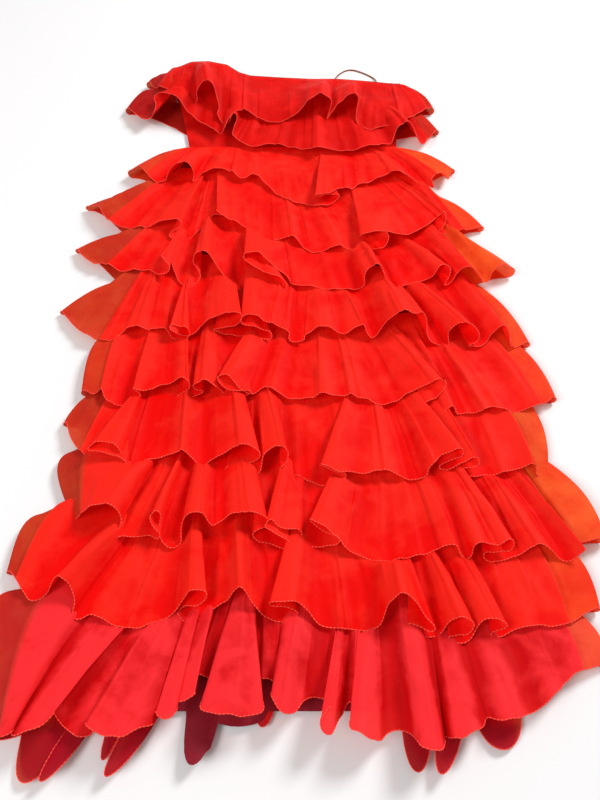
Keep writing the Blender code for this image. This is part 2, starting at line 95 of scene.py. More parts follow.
TIERS = [
    Tier("bust_flounce_upper", 236, 100, 21, (0.0, 0.45), Wing(16, 8, 3, 160, 6, 0.7), Wing(16, 8, 6)),
    Tier("bust_flounce_lower", 166, 19, 12, (0.56, 0.82),
         Wing(14, 10, 8, 210, 34), Wing(12, 3, 6, 220)),
    Tier("skirt_flounce_1", 18, -126, 12, DOWN, Wing(18, 0, 4, 110, 10), Wing(12, 6, 6)),
    Tier("skirt_flounce_2", -102, -234, 12, DOWN, Wing(10, 8, 4), Wing(12, 6, 10)),
    Tier("skirt_flounce_3", -209, -342, 12, DOWN, Wing(10, 8, 4), Wing(24, 6, 6)),
    Tier("skirt_flounce_4", -316, -442, 12, DOWN, Wing(8, 8, 2), Wing(14, 6, 8)),
    Tier("skirt_flounce_5", -418, -549, 12, DOWN, Wing(16, 6, 14, 110, 6, 0.7), Wing(15, 4, 12)),
    Tier("skirt_flounce_6", -524, -660, 12, DOWN, Wing(12, 3, 8), Wing(12, 2, 16)),
    Tier("skirt_flounce_7", -636, -774, 12, DOWN,
         Wing(12, 2, 40, 110, 12, 0.55, 46.0), Wing(18, 6, 14)),
    Tier("skirt_flounce_8", -748, -870, 12, DOWN, Wing(12, 4, 34, 110, 34, 0.6), Wing(14, 3, 10)),
    Tier("skirt_flounce_9", -842, -974, 8, (0.38, 0.88),
         Wing(10, 4, 62, 110, 56, 0.75, 44.0), Wing(8, 3, 10)),
]

# Tails of the lowest back flounce, narrow folds that reach past the front's hem. y is how far
# past the back's own hem one ends, and lean how far its end lies to the right.
Tail = namedtuple("Tail", "x y width rise lean")
TAILS = [
    Tail(-268, -58, 52, 7, -4),
    Tail(-226, -80, 32, 13, -34),
    Tail(-192, -62, 18, 5, -12),
    Tail(-160, -78, 30, 12, -36),
    Tail(-36, -30, 20, 5, -4),
    Tail(126, -74, 34, 13, -6),
    Tail(166, -76, 30, 13, -22),
    Tail(212, -52, 52, 5, 0),
]
LINING_TAILS = [
    Tail(-104, -54, 32, 10, -6),
    Tail(-66, -16, 60, 2, 0),
]
BACK_HEM = -4
LAST_BACK_HEM = 30

# Every flounce: the shares of its drop between which it rises to its resting height, how far in
# from a tip it levels off, how its seam turns round the panels, and where its tails start
LIFT_FROM = 0.12
LIFT_BY = 0.68
LEVEL_OFF = 60.0
SEAM_TURN = (FRONT_SEAM_Z - BACK_SEAM_Z) / 2
SEAM_CLEAR = 0.9
TAIL_FROM = 0.86

# From the second skirt flounce on, a seam climbs to stay this far above the scallops over it
FIRST_TUCKED = 3
TUCK = 30.0
TUCK_REACH = 20.0
TUCK_FADE = 16.0

# The bodice's front stands off its back at the upper left: its height at each x along the top
# edge, which fades out by the second y. The top edge slopes down a little to its right end.
PUFF = [(-287, 0), (-270, 9), (-256, 18), (-240, 28), (-215, 36), (-180, 37), (-145, 30), (-122, 14),
        (-100, 7), (-40, 3), (20, 0)]
PUFF_FROM, PUFF_TO = 232.0, 60.0
TOP_SLOPE = 12.0
SLOPE_X = (60.0, 180.0)
SLOPE_Y = (60.0, 225.0)
BUST_CLEAR = {"bust_flounce_upper": 3.2, "bust_flounce_lower": 3.5}

# The front hem of each flounce, from its left tip to its right one: x, y and how far it lifts off
# its resting height, and for some points the x at the seam that their cloth hangs from. Where it
# runs back, the cloth lies over itself in a fold.
HEMS = {
    "bust_flounce_upper": [
        (-299, 216, 0), (-288, 190, 2), (-270, 168, 5), (-246, 146, 6), (-224, 132, 2), (-208, 121, 0),
        (-194, 116, 4), (-195, 125, 12), (-187, 132, 22), (-174, 134, 26, -196), (-163, 131, 22),
        (-156, 117, 12), (-152, 101, 4), (-155, 87, 3), (-145, 72, 0), (-132, 65, 3), (-128, 75, 10),
        (-119, 84, 12), (-107, 93, 8, -113), (-94, 94, 4), (-79, 83, 1), (-62, 75, 0), (-41, 72, 0),
        (-21, 79, 2), (-6, 88, 6), (7, 101, 14), (21, 108, 22), (35, 112, 26, 44), (50, 111, 24),
        (60, 108, 16), (56, 98, 6), (50, 79, 2), (60, 92, 6), (75, 108, 16), (88, 115, 22),
        (101, 118, 24, 101), (111, 115, 18), (107, 98, 8), (106, 75, 2), (115, 60, 0), (129, 47, 0),
        (146, 54, 0), (165, 60, 2), (186, 72, 2, 186), (208, 87, 1), (231, 113, 0), (251, 133, 0),
    ],
    "bust_flounce_lower": [
        (-330, 129, 0), (-307, 97, 3), (-287, 81, 4), (-274, 92, 8), (-273, 115, 12), (-278, 132, 14),
        (-263, 138, 16), (-243, 123, 18, -216), (-230, 117, 14), (-219, 106, 8), (-203, 88, 4),
        (-181, 72, 2), (-162, 56, 1), (-146, 42, 2), (-140, 42, 10), (-133, 60, 15), (-124, 76, 16, -118),
        (-117, 76, 12), (-121, 58, 6), (-125, 39, 2), (-114, 24, 0), (-97, 12, 0), (-78, 6, 0),
        (-58, 10, 1), (-36, 10, 1), (-15, 3, 0), (7, -4, 1), (23, -10, 5, 28), (34, -11, 10), (47, -7, 3),
        (65, -7, 1), (87, -7, 1), (105, -7, 3), (119, -3, 6), (138, 2, 5), (157, 9, 2), (166, 9, 2),
        (172, 24, 8), (179, 37, 14), (191, 46, 18, 157), (204, 46, 16), (211, 38, 8), (217, 16, 4),
        (225, 10, 3), (238, 31, 2), (255, 62, 0),
    ],
    "skirt_flounce_1": [
        (-297, -63, 0), (-283, -65, 8), (-271, -77, 8), (-259, -92, 4), (-247, -98, 1), (-235, -94, 4),
        (-230, -83, 12), (-219, -74, 20), (-203, -74, 24, -174), (-191, -77, 20), (-185, -83, 8),
        (-188, -94, 2), (-179, -83, 2), (-169, -72, 6), (-154, -69, 10), (-137, -69, 10),
        (-121, -75, 8, -114), (-106, -88, 6), (-94, -86, 6), (-81, -76, 5), (-72, -80, 4), (-57, -101, 1),
        (-40, -121, 0), (-21, -137, 0), (0, -147, 0), (24, -152, 0), (48, -151, 1), (63, -144, 4),
        (68, -137, 7), (51, -137, 9), (24, -146, 12, 40), (37, -142, 13), (54, -135, 11), (67, -123, 10),
        (82, -118, 8), (89, -119, 5), (97, -109, 5), (114, -102, 6), (136, -91, 8), (159, -80, 10, 132),
        (174, -80, 10), (188, -84, 7), (204, -93, 3), (222, -103, 1), (232, -111, 2), (229, -95, 6),
        (242, -79, 8), (253, -76, 5), (260, -84, 2), (271, -53, 0),
    ],
    "skirt_flounce_2": [
        (-362, -150, 0), (-349, -159, 6), (-336, -169, 10), (-329, -184, 8), (-312, -203, 5),
        (-297, -209, 2), (-279, -211, 1), (-262, -209, 2), (-254, -213, 1), (-244, -208, 5),
        (-232, -203, 9), (-217, -203, 11), (-204, -206, 12), (-193, -215, 13, -163), (-202, -222, 9),
        (-215, -231, 4), (-205, -239, 1), (-189, -238, 0), (-175, -229, 0), (-165, -210, 0),
        (-156, -194, 1), (-144, -180, 2), (-130, -182, 4), (-132, -177, 8), (-139, -185, 13, -152),
        (-129, -195, 13), (-115, -201, 10), (-99, -207, 6), (-86, -215, 3), (-70, -227, 1), (-59, -236, 0),
        (-41, -238, 0), (-24, -236, 2), (-13, -234, 3, -26), (-3, -243, 2), (8, -257, 0), (19, -266, 0),
        (35, -264, 0), (52, -257, 2), (66, -254, 4), (74, -261, 2), (87, -260, 1), (102, -257, 2),
        (114, -262, 3), (127, -265, 5), (138, -260, 9), (143, -248, 13), (137, -236, 15), (125, -232, 14),
        (108, -237, 12), (95, -248, 13, 88), (103, -245, 17), (119, -242, 18), (142, -238, 15),
        (165, -240, 12), (178, -235, 10), (192, -227, 9), (208, -215, 9), (224, -199, 10),
        (237, -187, 12, 149), (241, -201, 10), (234, -219, 6), (226, -220, 3), (231, -224, 0),
        (246, -226, 0), (264, -217, 0), (281, -212, 0), (301, -203, 0),
    ],
    "skirt_flounce_3": [
        (-361, -255, 0), (-347, -277, 2), (-328, -291, 1), (-309, -294, 1), (-296, -300, 0),
        (-283, -311, 0), (-267, -310, 1), (-249, -307, 2), (-236, -309, 2), (-225, -319, 4),
        (-214, -326, 8), (-204, -325, 12), (-203, -315, 15), (-212, -304, 17, -183), (-218, -292, 16),
        (-211, -286, 14), (-203, -298, 9), (-197, -316, 5), (-186, -335, 2), (-173, -342, 1),
        (-161, -337, 2), (-155, -327, 5), (-159, -316, 9), (-167, -305, 13), (-164, -296, 20),
        (-153, -294, 24, -153), (-142, -298, 22), (-131, -310, 14), (-120, -325, 7), (-107, -339, 2),
        (-96, -348, 0), (-83, -348, 0), (-68, -347, 1), (-52, -353, 1), (-34, -355, 3), (-20, -350, 7),
        (-25, -342, 12), (-46, -334, 16), (-69, -323, 20), (-88, -309, 24, -90), (-79, -304, 27),
        (-67, -297, 27), (-56, -303, 22), (-43, -314, 16), (-30, -321, 10), (-19, -330, 6),
        (-11, -342, 3, -28), (3, -343, 2), (25, -343, 0), (49, -348, 0), (71, -348, 0), (89, -347, 1),
        (100, -344, 5), (99, -334, 12), (106, -325, 18), (117, -320, 22, 87), (126, -323, 20),
        (130, -332, 12), (136, -345, 4), (142, -352, 0), (154, -347, 1), (167, -339, 2), (186, -334, 3),
        (205, -330, 6), (211, -323, 12), (218, -315, 17), (229, -315, 17), (234, -325, 12), (227, -338, 7),
        (222, -342, 3), (234, -337, 4), (245, -325, 10), (254, -320, 15), (264, -321, 16), (275, -328, 10),
        (283, -337, 4), (292, -338, 2), (296, -328, 6), (306, -319, 9), (317, -313, 8), (327, -310, 0),
    ],
    "skirt_flounce_4": [
        (-362, -388, 0), (-345, -412, 2), (-320, -436, 1), (-300, -449, 1), (-280, -454, 0),
        (-272, -451, 1), (-263, -442, 4), (-252, -433, 7), (-241, -432, 8, -221), (-226, -434, 4),
        (-212, -431, 3), (-199, -430, 4), (-191, -442, 2), (-180, -451, 1), (-167, -452, 3),
        (-160, -445, 8), (-169, -440, 13, -180), (-182, -436, 15), (-190, -443, 16), (-180, -447, 12),
        (-166, -447, 6), (-155, -441, 3), (-148, -434, 6), (-142, -428, 10), (-131, -422, 15),
        (-114, -420, 19), (-99, -418, 21), (-88, -419, 20, -108), (-85, -426, 15), (-97, -432, 10),
        (-115, -433, 5), (-130, -432, 2), (-115, -437, 0), (-94, -440, 0), (-73, -442, 0), (-56, -450, 0),
        (-44, -452, 3), (-41, -445, 8), (-55, -440, 11), (-73, -437, 14), (-87, -432, 17, -92),
        (-79, -424, 21), (-64, -424, 21), (-52, -430, 17), (-41, -432, 13, -19), (-28, -435, 9),
        (-15, -442, 7), (-17, -451, 4), (-6, -455, 1), (7, -452, 2), (6, -446, 4), (16, -441, 7),
        (26, -435, 10), (38, -434, 10), (50, -435, 7), (60, -440, 4), (69, -441, 3), (78, -435, 7),
        (86, -432, 10), (94, -431, 11, 57), (98, -440, 4), (104, -448, 0), (113, -444, 2), (118, -438, 8),
        (126, -429, 16), (137, -427, 24), (150, -422, 28, 123), (162, -423, 24), (171, -423, 22),
        (180, -419, 22), (186, -425, 14), (186, -440, 6), (191, -455, 1), (204, -459, 0), (216, -462, 1),
        (216, -453, 6), (216, -445, 12), (226, -440, 18), (240, -438, 20, 161), (255, -443, 16),
        (261, -451, 10), (255, -460, 5), (243, -462, 3), (258, -464, 1), (272, -456, 3), (279, -447, 8),
        (292, -438, 12), (301, -437, 13), (305, -445, 8), (305, -462, 3), (310, -467, 1), (331, -454, 0),
    ],
    "skirt_flounce_5": [
        (-298, -542, 0), (-287, -550, 2), (-279, -549, 4), (-275, -544, 6), (-269, -556, 4),
        (-261, -565, 2), (-250, -568, 1), (-238, -565, 2), (-225, -560, 4), (-218, -554, 7),
        (-230, -550, 11, -222), (-216, -551, 12), (-201, -545, 9), (-186, -535, 7), (-173, -531, 9),
        (-164, -529, 11), (-155, -534, 10, -171), (-152, -541, 6), (-160, -547, 3), (-172, -551, 1),
        (-160, -554, 0), (-144, -551, 1), (-132, -546, 4), (-143, -547, 9), (-148, -543, 13),
        (-134, -540, 18, -141), (-122, -541, 15), (-111, -546, 8), (-102, -551, 3), (-88, -552, 0),
        (-75, -551, 1), (-65, -548, 4), (-77, -548, 8), (-96, -548, 11), (-114, -537, 14, -63),
        (-107, -531, 18), (-99, -530, 19), (-91, -538, 14), (-81, -546, 8), (-67, -550, 4), (-58, -546, 3),
        (-47, -541, 6), (-35, -543, 6), (-26, -547, 3), (-17, -555, 0), (-3, -557, 0), (10, -554, 1),
        (18, -557, 4), (26, -554, 7, 27), (34, -551, 8), (44, -553, 6), (58, -553, 4), (69, -551, 5, 54),
        (76, -554, 3), (85, -558, 3), (93, -558, 3), (101, -563, 1), (112, -565, 0), (123, -563, 1),
        (137, -557, 2), (151, -549, 5), (165, -543, 8), (179, -538, 11), (193, -533, 14),
        (200, -537, 14, 126), (201, -545, 11), (192, -554, 8), (177, -563, 6), (165, -568, 3),
        (167, -578, 1), (178, -584, 0), (191, -584, 0), (199, -578, 4), (208, -571, 6), (212, -577, 4),
        (213, -581, 1), (224, -580, 0), (236, -579, 1), (250, -577, 4, 180), (261, -573, 6), (271, -575, 6),
        (280, -576, 3), (290, -579, 1), (305, -575, 0), (320, -569, 0), (337, -564, 0), (349, -553, 0),
    ],
    "skirt_flounce_6": [
        (-316, -593, 0), (-308, -613, 1), (-296, -632, 1), (-282, -646, 2), (-271, -649, 2),
        (-256, -652, 2), (-241, -658, 2), (-229, -667, 2), (-220, -672, 5), (-223, -664, 10),
        (-231, -657, 13), (-246, -654, 15), (-262, -651, 16), (-274, -649, 17), (-265, -642, 20, -215),
        (-247, -641, 21), (-236, -645, 17), (-227, -653, 9), (-219, -663, 3, -210), (-209, -660, 2),
        (-200, -654, 3), (-187, -653, 3), (-175, -651, 5), (-164, -649, 9), (-154, -648, 12, -161),
        (-145, -650, 9), (-137, -657, 5), (-129, -664, 2), (-123, -662, 3), (-113, -657, 7),
        (-103, -653, 11), (-90, -648, 17), (-77, -645, 20, -96), (-63, -646, 20), (-53, -651, 17),
        (-51, -658, 12), (-62, -662, 8), (-80, -663, 5), (-95, -665, 3), (-95, -672, 1), (-79, -676, 0),
        (-64, -677, 1), (-52, -673, 4), (-49, -664, 9), (-46, -654, 15), (-36, -649, 19),
        (-23, -646, 20, -54), (-15, -652, 15), (-17, -661, 9), (-24, -668, 4), (-28, -675, 1),
        (-17, -678, 0), (0, -676, 0), (10, -683, 0), (23, -689, 0), (38, -692, 0), (51, -688, 3),
        (60, -680, 7), (46, -675, 9), (25, -669, 13, 74), (38, -674, 15), (53, -678, 13), (66, -677, 10),
        (81, -679, 7), (96, -675, 8), (108, -673, 8, 102), (121, -675, 5), (130, -678, 3), (139, -682, 0),
        (152, -682, 0), (162, -679, 3), (165, -670, 8), (173, -663, 12), (183, -655, 15), (197, -652, 17),
        (209, -650, 18, 147), (209, -656, 14), (198, -659, 11), (185, -662, 8), (178, -668, 4),
        (189, -669, 3), (203, -665, 6), (217, -660, 10), (228, -658, 12, 176), (230, -665, 9),
        (219, -669, 6), (207, -668, 3), (203, -672, 1), (213, -678, 0), (225, -678, 0), (240, -675, 1),
        (253, -675, 3), (269, -672, 4), (286, -668, 4), (298, -664, 7), (304, -669, 7, 264), (303, -677, 2),
        (315, -673, 0),
    ],
    "skirt_flounce_7": [
        (-278, -736, 0), (-272, -735, 6), (-260, -733, 15), (-248, -732, 22), (-236, -731, 24, -186),
        (-225, -734, 22), (-218, -740, 16), (-217, -749, 11), (-221, -756, 8), (-228, -765, 6),
        (-235, -773, 4), (-242, -779, 2), (-237, -784, 1), (-233, -776, 2), (-225, -767, 5),
        (-215, -764, 7), (-204, -765, 6), (-190, -762, 8), (-179, -764, 8), (-170, -769, 8),
        (-168, -763, 12), (-177, -756, 15), (-181, -747, 19), (-175, -739, 22, -151), (-168, -740, 20),
        (-169, -748, 15), (-171, -758, 9), (-167, -769, 4), (-159, -775, 1), (-149, -775, 1),
        (-143, -769, 4), (-144, -761, 9), (-142, -751, 16), (-135, -744, 21), (-126, -741, 23),
        (-118, -741, 21, -127), (-111, -747, 13), (-104, -751, 8), (-96, -745, 10), (-87, -741, 15),
        (-75, -740, 19), (-62, -741, 20, -80), (-48, -741, 18), (-39, -743, 14), (-41, -752, 10),
        (-53, -756, 7), (-58, -761, 4), (-50, -767, 1), (-36, -771, 0), (-23, -775, 0), (-13, -777, 3),
        (-12, -771, 7), (-23, -766, 10), (-36, -760, 13), (-43, -754, 16), (-35, -747, 17), (-27, -753, 13),
        (-14, -757, 10), (-2, -755, 8), (4, -760, 5), (-5, -764, 3), (4, -770, 1), (16, -774, 0),
        (30, -773, 1), (43, -773, 4), (49, -768, 7), (36, -762, 9), (11, -747, 13, 56), (20, -751, 16),
        (31, -755, 14), (41, -762, 11), (48, -769, 8), (54, -777, 4), (62, -782, 2), (73, -787, 1),
        (85, -790, 0), (100, -791, 0), (114, -790, 0), (129, -789, 0), (143, -785, 1), (158, -781, 3),
        (170, -778, 5, 143), (179, -776, 8), (187, -777, 10), (190, -783, 8), (193, -790, 5),
        (199, -791, 3), (205, -787, 8), (205, -780, 13), (213, -776, 17), (225, -778, 16),
        (237, -779, 15, 188), (246, -775, 16), (255, -776, 15), (252, -782, 11), (240, -784, 7),
        (224, -782, 3), (219, -788, 1), (231, -793, 0), (244, -791, 0), (256, -788, 2), (265, -785, 5),
        (273, -780, 9), (283, -776, 11, 226), (293, -777, 9), (301, -783, 5), (310, -790, 2),
        (321, -793, 2), (331, -789, 6), (338, -782, 10, 266), (328, -773, 6), (317, -767, 1),
        (330, -769, 0, 276), (346, -769, 1), (365, -763, 0),
    ],
    "skirt_flounce_8": [
        (-344, -804, 0), (-334, -814, 3), (-322, -829, 4), (-312, -841, 4), (-303, -842, 4),
        (-295, -837, 6), (-287, -830, 12), (-283, -825, 18), (-276, -823, 23, -198), (-266, -826, 22),
        (-261, -833, 16), (-257, -844, 9), (-259, -856, 3), (-256, -863, 0, -178), (-247, -862, 2),
        (-235, -859, 5), (-222, -863, 4), (-211, -869, 1), (-196, -872, 0, -153), (-181, -872, 0),
        (-169, -868, 1), (-158, -864, 2), (-148, -859, 4), (-140, -854, 7), (-134, -845, 12),
        (-127, -839, 17, -136), (-117, -836, 20), (-107, -837, 19), (-106, -844, 14), (-115, -850, 11),
        (-128, -849, 8), (-139, -853, 4), (-137, -861, 1), (-129, -865, 0), (-119, -863, 0),
        (-108, -857, 2), (-96, -850, 5), (-84, -843, 9), (-77, -837, 14), (-70, -834, 18, -84),
        (-63, -836, 18), (-57, -843, 12), (-51, -851, 7), (-43, -857, 3), (-33, -862, 1), (-20, -864, 0),
        (-8, -862, 1), (-1, -858, 4), (-9, -853, 8), (-23, -852, 11), (-36, -852, 14, -5), (-27, -848, 18),
        (-16, -848, 18), (-7, -848, 15), (2, -850, 11), (9, -855, 7), (16, -862, 3), (25, -869, 1),
        (38, -873, 0), (54, -873, 0, 37), (68, -876, 0), (82, -874, 1), (91, -869, 5), (95, -861, 12),
        (99, -853, 21), (106, -847, 29), (112, -845, 32, 109), (120, -846, 30), (128, -851, 24),
        (137, -860, 17), (146, -869, 11), (152, -877, 9), (145, -877, 7), (131, -871, 6), (121, -869, 4),
        (123, -875, 1), (134, -880, 0), (148, -881, 0), (156, -880, 2), (163, -874, 8), (169, -869, 14),
        (178, -866, 17, 149), (187, -868, 15), (195, -872, 10), (189, -879, 6), (175, -881, 4),
        (165, -883, 2), (170, -888, 0), (181, -890, 0), (190, -885, 3), (197, -877, 7), (203, -869, 12),
        (210, -867, 15), (219, -867, 15, 178), (227, -869, 12), (233, -873, 8), (224, -876, 5),
        (214, -878, 2), (217, -883, 0), (227, -881, 1), (236, -877, 3), (249, -873, 4), (264, -871, 4),
        (281, -871, 3), (296, -870, 2), (310, -864, 1), (325, -856, 1), (340, -849, 0),
    ],
    "skirt_flounce_9": [
        (-320, -986, 0), (-312, -988, 9), (-303, -988, 15), (-294, -983, 14, -236), (-302, -974, 6),
        (-301, -980, 6, -228), (-291, -987, 17), (-278, -984, 21), (-267, -980, 22), (-259, -973, 19),
        (-254, -962, 14, -170), (-262, -957, 7), (-258, -966, 2), (-250, -974, 2), (-241, -980, 4),
        (-231, -985, 6), (-223, -985, 6), (-216, -981, 4, -150), (-210, -975, 2), (-219, -969, 5),
        (-222, -975, 12, -146), (-211, -982, 17), (-201, -986, 18), (-190, -989, 19), (-180, -989, 20),
        (-171, -984, 20), (-164, -979, 17), (-156, -977, 12), (-150, -971, 6), (-156, -962, 3, -118),
        (-151, -962, 9), (-148, -968, 13), (-139, -970, 16), (-132, -968, 15), (-128, -958, 10, -108),
        (-136, -949, 3), (-134, -955, 8, -106), (-119, -951, 15), (-110, -947, 17), (-113, -939, 12, -91),
        (-121, -927, 1), (-109, -922, 0), (-95, -930, 0, -74), (-101, -946, 8), (-104, -962, 17),
        (-90, -966, 21), (-75, -968, 22), (-61, -969, 21), (-48, -967, 20), (-38, -964, 18),
        (-40, -951, 10, -58), (-50, -937, 2), (-43, -927, 0, -44), (-33, -927, 0), (-25, -935, 3, -19),
        (-31, -945, 12), (-26, -957, 18), (-17, -965, 19), (-9, -966, 17), (-2, -960, 12), (5, -950, 6),
        (13, -946, 2), (22, -947, 1), (32, -950, 1, 40), (37, -954, 8), (28, -963, 17), (21, -972, 21),
        (22, -982, 20), (31, -985, 17), (38, -975, 9), (45, -963, 2), (52, -950, 0, 60), (58, -955, 4),
        (52, -971, 17, 66), (51, -982, 21), (63, -986, 22), (73, -990, 20), (82, -990, 13), (88, -985, 6),
        (96, -981, 3), (106, -979, 2), (114, -982, 6), (118, -991, 15, 112), (124, -999, 21),
        (135, -1001, 22), (144, -1000, 18), (149, -991, 8, 140), (150, -983, 2), (155, -988, 9),
        (163, -990, 15), (172, -987, 17), (183, -980, 14), (192, -974, 7), (197, -967, 2, 177),
        (206, -970, 6), (218, -970, 10), (230, -968, 10), (241, -963, 6), (252, -958, 4), (263, -953, 7),
        (274, -943, 8), (285, -933, 4), (296, -924, 2), (309, -918, 3), (322, -914, 3), (337, -910, 0),
    ],
}

# The hanging loop: a thin cord from the top edge, which lies on the floor beyond it
LOOP_THICK = 2.6
LOOP_STEP = 1.5
LOOP_ROUTE = [
    (72, 239.4, 4.45), (72, 245, 4.3), (75, 257, 2.8), (83, 271, 1.6), (95, 283, 1.4),
    (109, 287, 1.4), (124, 282, 1.4), (139, 273, 1.4), (150, 262, 1.7), (154, 250, 3.2),
    (153, 244, 4.3), (152, 239.4, 4.45),
]

# How finely the cloth is cut: along the front hems, the back hems and the hem with tails, in rows
# from seam to hem, in rows over the tails, and round a side turn
HEM_STEP = 2.3
BACK_STEP = 6.0
TAIL_STEP = 2.5
ROW_COUNT = 26
TAIL_ROWS = 12
TURN_STEPS = 9
KNOT_STEPS = 12

# The panels: how finely they are cut, the slight ripples of their fronts, which are calm near
# the sides and most near the bottom, and how far up a lining's tails start
PANEL_STEP = 5.0
LINING_STEP = 3.0
PANEL_SPAN = 460.0
PANEL_CALM = 30.0
PANEL_END = 20.0
RIPPLE_LENGTHS = (19, 33, 51)
TAIL_ROOT = 40.0

# How a flounce's heights differ from its solid's: the power and the share of its folds' lift, the
# share of its hem's rest, and the gap it keeps under the hem above, which ends past that hem. The
# hem above is looked up at even places, and FAR stands for none.
LIFT_POWER = 0.8
LIFT_SHARE = 1.2
REST_SHARE = 0.6
UNDER_GAP = 1.8
UNDER_FADE = 22.0
UNDER_RISE = 60.0
HEM_REACH = 7.0
HEM_PLACES = np.arange(-400.0, 400.0, 3.0)
FAR = 1e4

# How far things are smoothed, in steps along the hem, and the relief at which the top of a fold
# gets its full painted highlight
HEM_SMOOTH = 1.1
ROOT_SMOOTH = 6.0
SEAM_SMOOTH = 3.0
RELIEF_SMOOTH = 12.0
PAINTED_LIGHT_SPAN = 9.0

# Small waves that the solids leave out, as their height and their lengths: long flutes, creases
# along them, gathers at the seam, the hem's wander up and down, and waves of the back half. They
# are calm near the side turns.
FLUTE, FLUTE_LENGTHS = 1.3, (31, 47, 68)
CREASE, CREASE_LENGTHS = 0.1, (8.3, 11.7, 15.1, 21)
GATHER, GATHER_LENGTHS = 0.5, (6.1, 8.9, 13)
WANDER, WANDER_LENGTHS = 0.9, (26, 41, 77)
BACK_WAVE, BACK_LENGTHS = 1.4, (37, 53, 90)
CALM = 40.0
BACK_CALM = 60.0

# Sharp creases from the seam to the hem: how far apart and how high they are, how wide the step
# at one is, how far its other side falls off, and the shares of the drop where one starts and how
# much of the drop it takes. The folds and the edges of the single cloth have a crease each.
PLEATS_FROM = 26.0
PLEAT_GAPS = (26.0, 64.0)
PLEAT_HEIGHTS = (0.8, 2.4)
PLEAT_STEP = 2.4
PLEAT_FALL = (9.0, 22.0)
PLEAT_POWER = 1.6
PLEAT_START = (-0.1, 0.5)
PLEAT_LENGTH = (0.4, 1.2)
PLEAT_FADE = 0.25
PLEAT_CALM = 14.0
PLEATS_RIGHT = 0.7
FOLD_HEIGHT, FOLD_FALL = 2.6, 34.0
EDGE_HEIGHT, EDGE_FALL = 4.0, 60.0
WHOLE_DROP = (-0.04, 1.3)

# Creases at a slant to the drop, in patches: how many sets, how high, how much they slant, their
# spacing, how they bend, and how large the patches are
SLANTS = 7
SLANT_HEIGHT = 1.8
SLANT_ANGLE = 1.0
SLANT_GAPS = (12.0, 24.0)
SLANT_BENDS = (18.0, 40.0)
SLANT_PATCHES = (22.0, 45.0)
SLANT_CALM = 30.0

# Where the front's double cloth ends at each side of a flounce, as x along its hem, and how
# sheer each side is
SHEER = {
    "bust_flounce_upper": (-276, 246, 0.8, 0.8),
    "bust_flounce_lower": (-276, 236, 0.8, 0.8),
    "skirt_flounce_1": (-268, 240, 0.5, 0.6),
    "skirt_flounce_2": (-318, 272, 0.8, 0.5),
    "skirt_flounce_3": (-306, 282, 0.8, 0.8),
    "skirt_flounce_4": (-296, 310, 0.7, 0.6),
    "skirt_flounce_5": (-276, 332, 0.5, 0.35),
    "skirt_flounce_6": (-290, 302, 0.8, 0.9),
    "skirt_flounce_7": (-271, 324, 0.95, 0.8),
    "skirt_flounce_8": (-333, 306, 0.8, 0.45),
    "skirt_flounce_9": (-309, 312, 0.9, 0.9),
}

# Where painted shade darkens the single cloth at the left and the tails past the last hem, how far
# inside the body's edge the back half starts to lie single, and the darker colours: the painted
# shade's, and the darker share of the single cloth's clouds
LEFT_PAINTED_SHADE = 0.68
SHADE_FROM, SHADE_FADE = -200.0, 40.0
TAILS_BELOW, TAILS_FADE = -962.0, 14.0
BODY_REACH, BODY_FADE = 4.0, 10.0
EDGE_COLUMNS = 2.0
# The colour of the painted shade
PAINTED_SHADE_COLOUR = (0.38, 0.004, 0.014)
DUSK = (0.88, 0.5, 0.5)

# How much single cloth lets through, in which colour, and how much the painted highlight on fold
# tops and the painted shade in hollows add to the mottling
SINGLE_OPEN = 0.16
CLEAR_TINT = (1.0, 0.34, 0.16, 1.0)
PAINTED_LIGHT_SHARE = 0.42
SHEEN_TINT = (1.0, 0.30, 0.22, 1.0)

# Chiffon colours: pale as painted highlight on the tops of folds, deep as painted shade in the
# hollows, and where it lies single
Chiffon = namedtuple("Chiffon", "pale deep single")
BUST_CHIFFON = Chiffon((0.84, 0.009, 0.006), (0.66, 0.002, 0.001), (0.62, 0.024, 0.007))
SKIRT_CHIFFON = Chiffon((0.97, 0.020, 0.010), (0.88, 0.002, 0.001), (0.98, 0.14, 0.024))
LAST_CHIFFON = Chiffon((0.98, 0.028, 0.034), (0.66, 0.003, 0.005), (0.98, 0.11, 0.045))
BODICE_CHIFFON = Chiffon((0.80, 0.010, 0.007), (0.58, 0.002, 0.001), (0.6, 0.05, 0.02))

# Rolled hems
HEM_RADIUS = 0.42
HEM_RELIEF = 0.34
HEM_BEAD = 4.4
HEM_SIDES = 5

# The camera, tilted in degrees, the two lamps, with their power in watts, and the floor
CAMERA_PLACE = (0.0, -0.7383, 0.8292)
CAMERA_TILT = 34.97
CAMERA_LENS = 32.4
Lamp = namedtuple("Lamp", "name place size power")
LAMPS = [
    Lamp("key", (2.42, 2.02, 2.46), 1.3, 152.0),
    Lamp("fill", (-2.3, -1.6, 2.4), 1.8, 68.0),
]
WORLD_LIGHT = 0.42
FLOOR_REACH = 6
FLOOR_COLOUR = (0.80, 0.79, 0.79, 1.0)

# A flounce's front half, cut finely along its hem: where each line of cloth leaves the seam and
# meets the hem, how far it lifts, the seam's y, and the length run along the hem, also to its folds
Front = namedtuple("Front", "root x y lift seam run folds")

# Its small waves and how calm they are, its back half, and one of its sharp creases
Small = namedtuple("Small", "ends calm flutes creases gathers wander pleats from_start from_end")
Back = namedtuple("Back", "root x y reach rise slant waves")
Crease = namedtuple("Crease", "at height way fall start end")


def mix(a, b, share):
    return a + (b - a) * share


def ease(share):
    """Runs smoothly from 0 to 1, and stays there."""
    t = np.clip(share, 0.0, 1.0)
    return t * t * (3 - 2 * t)


def body_lift(x, y):
    """How far the bodice's front stands off its resting level."""
    places, heights = zip(*PUFF)
    height = np.interp(x, places, heights, left=0.0, right=0.0)
    return height * ease((y - PUFF_TO) / (PUFF_FROM - PUFF_TO))


def panel_edge(sections, y, side):
    """The x of a panel's left or right edge at this y."""
    return float(np.interp(-y, [-s.y for s in sections], [getattr(s, side) for s in sections]))


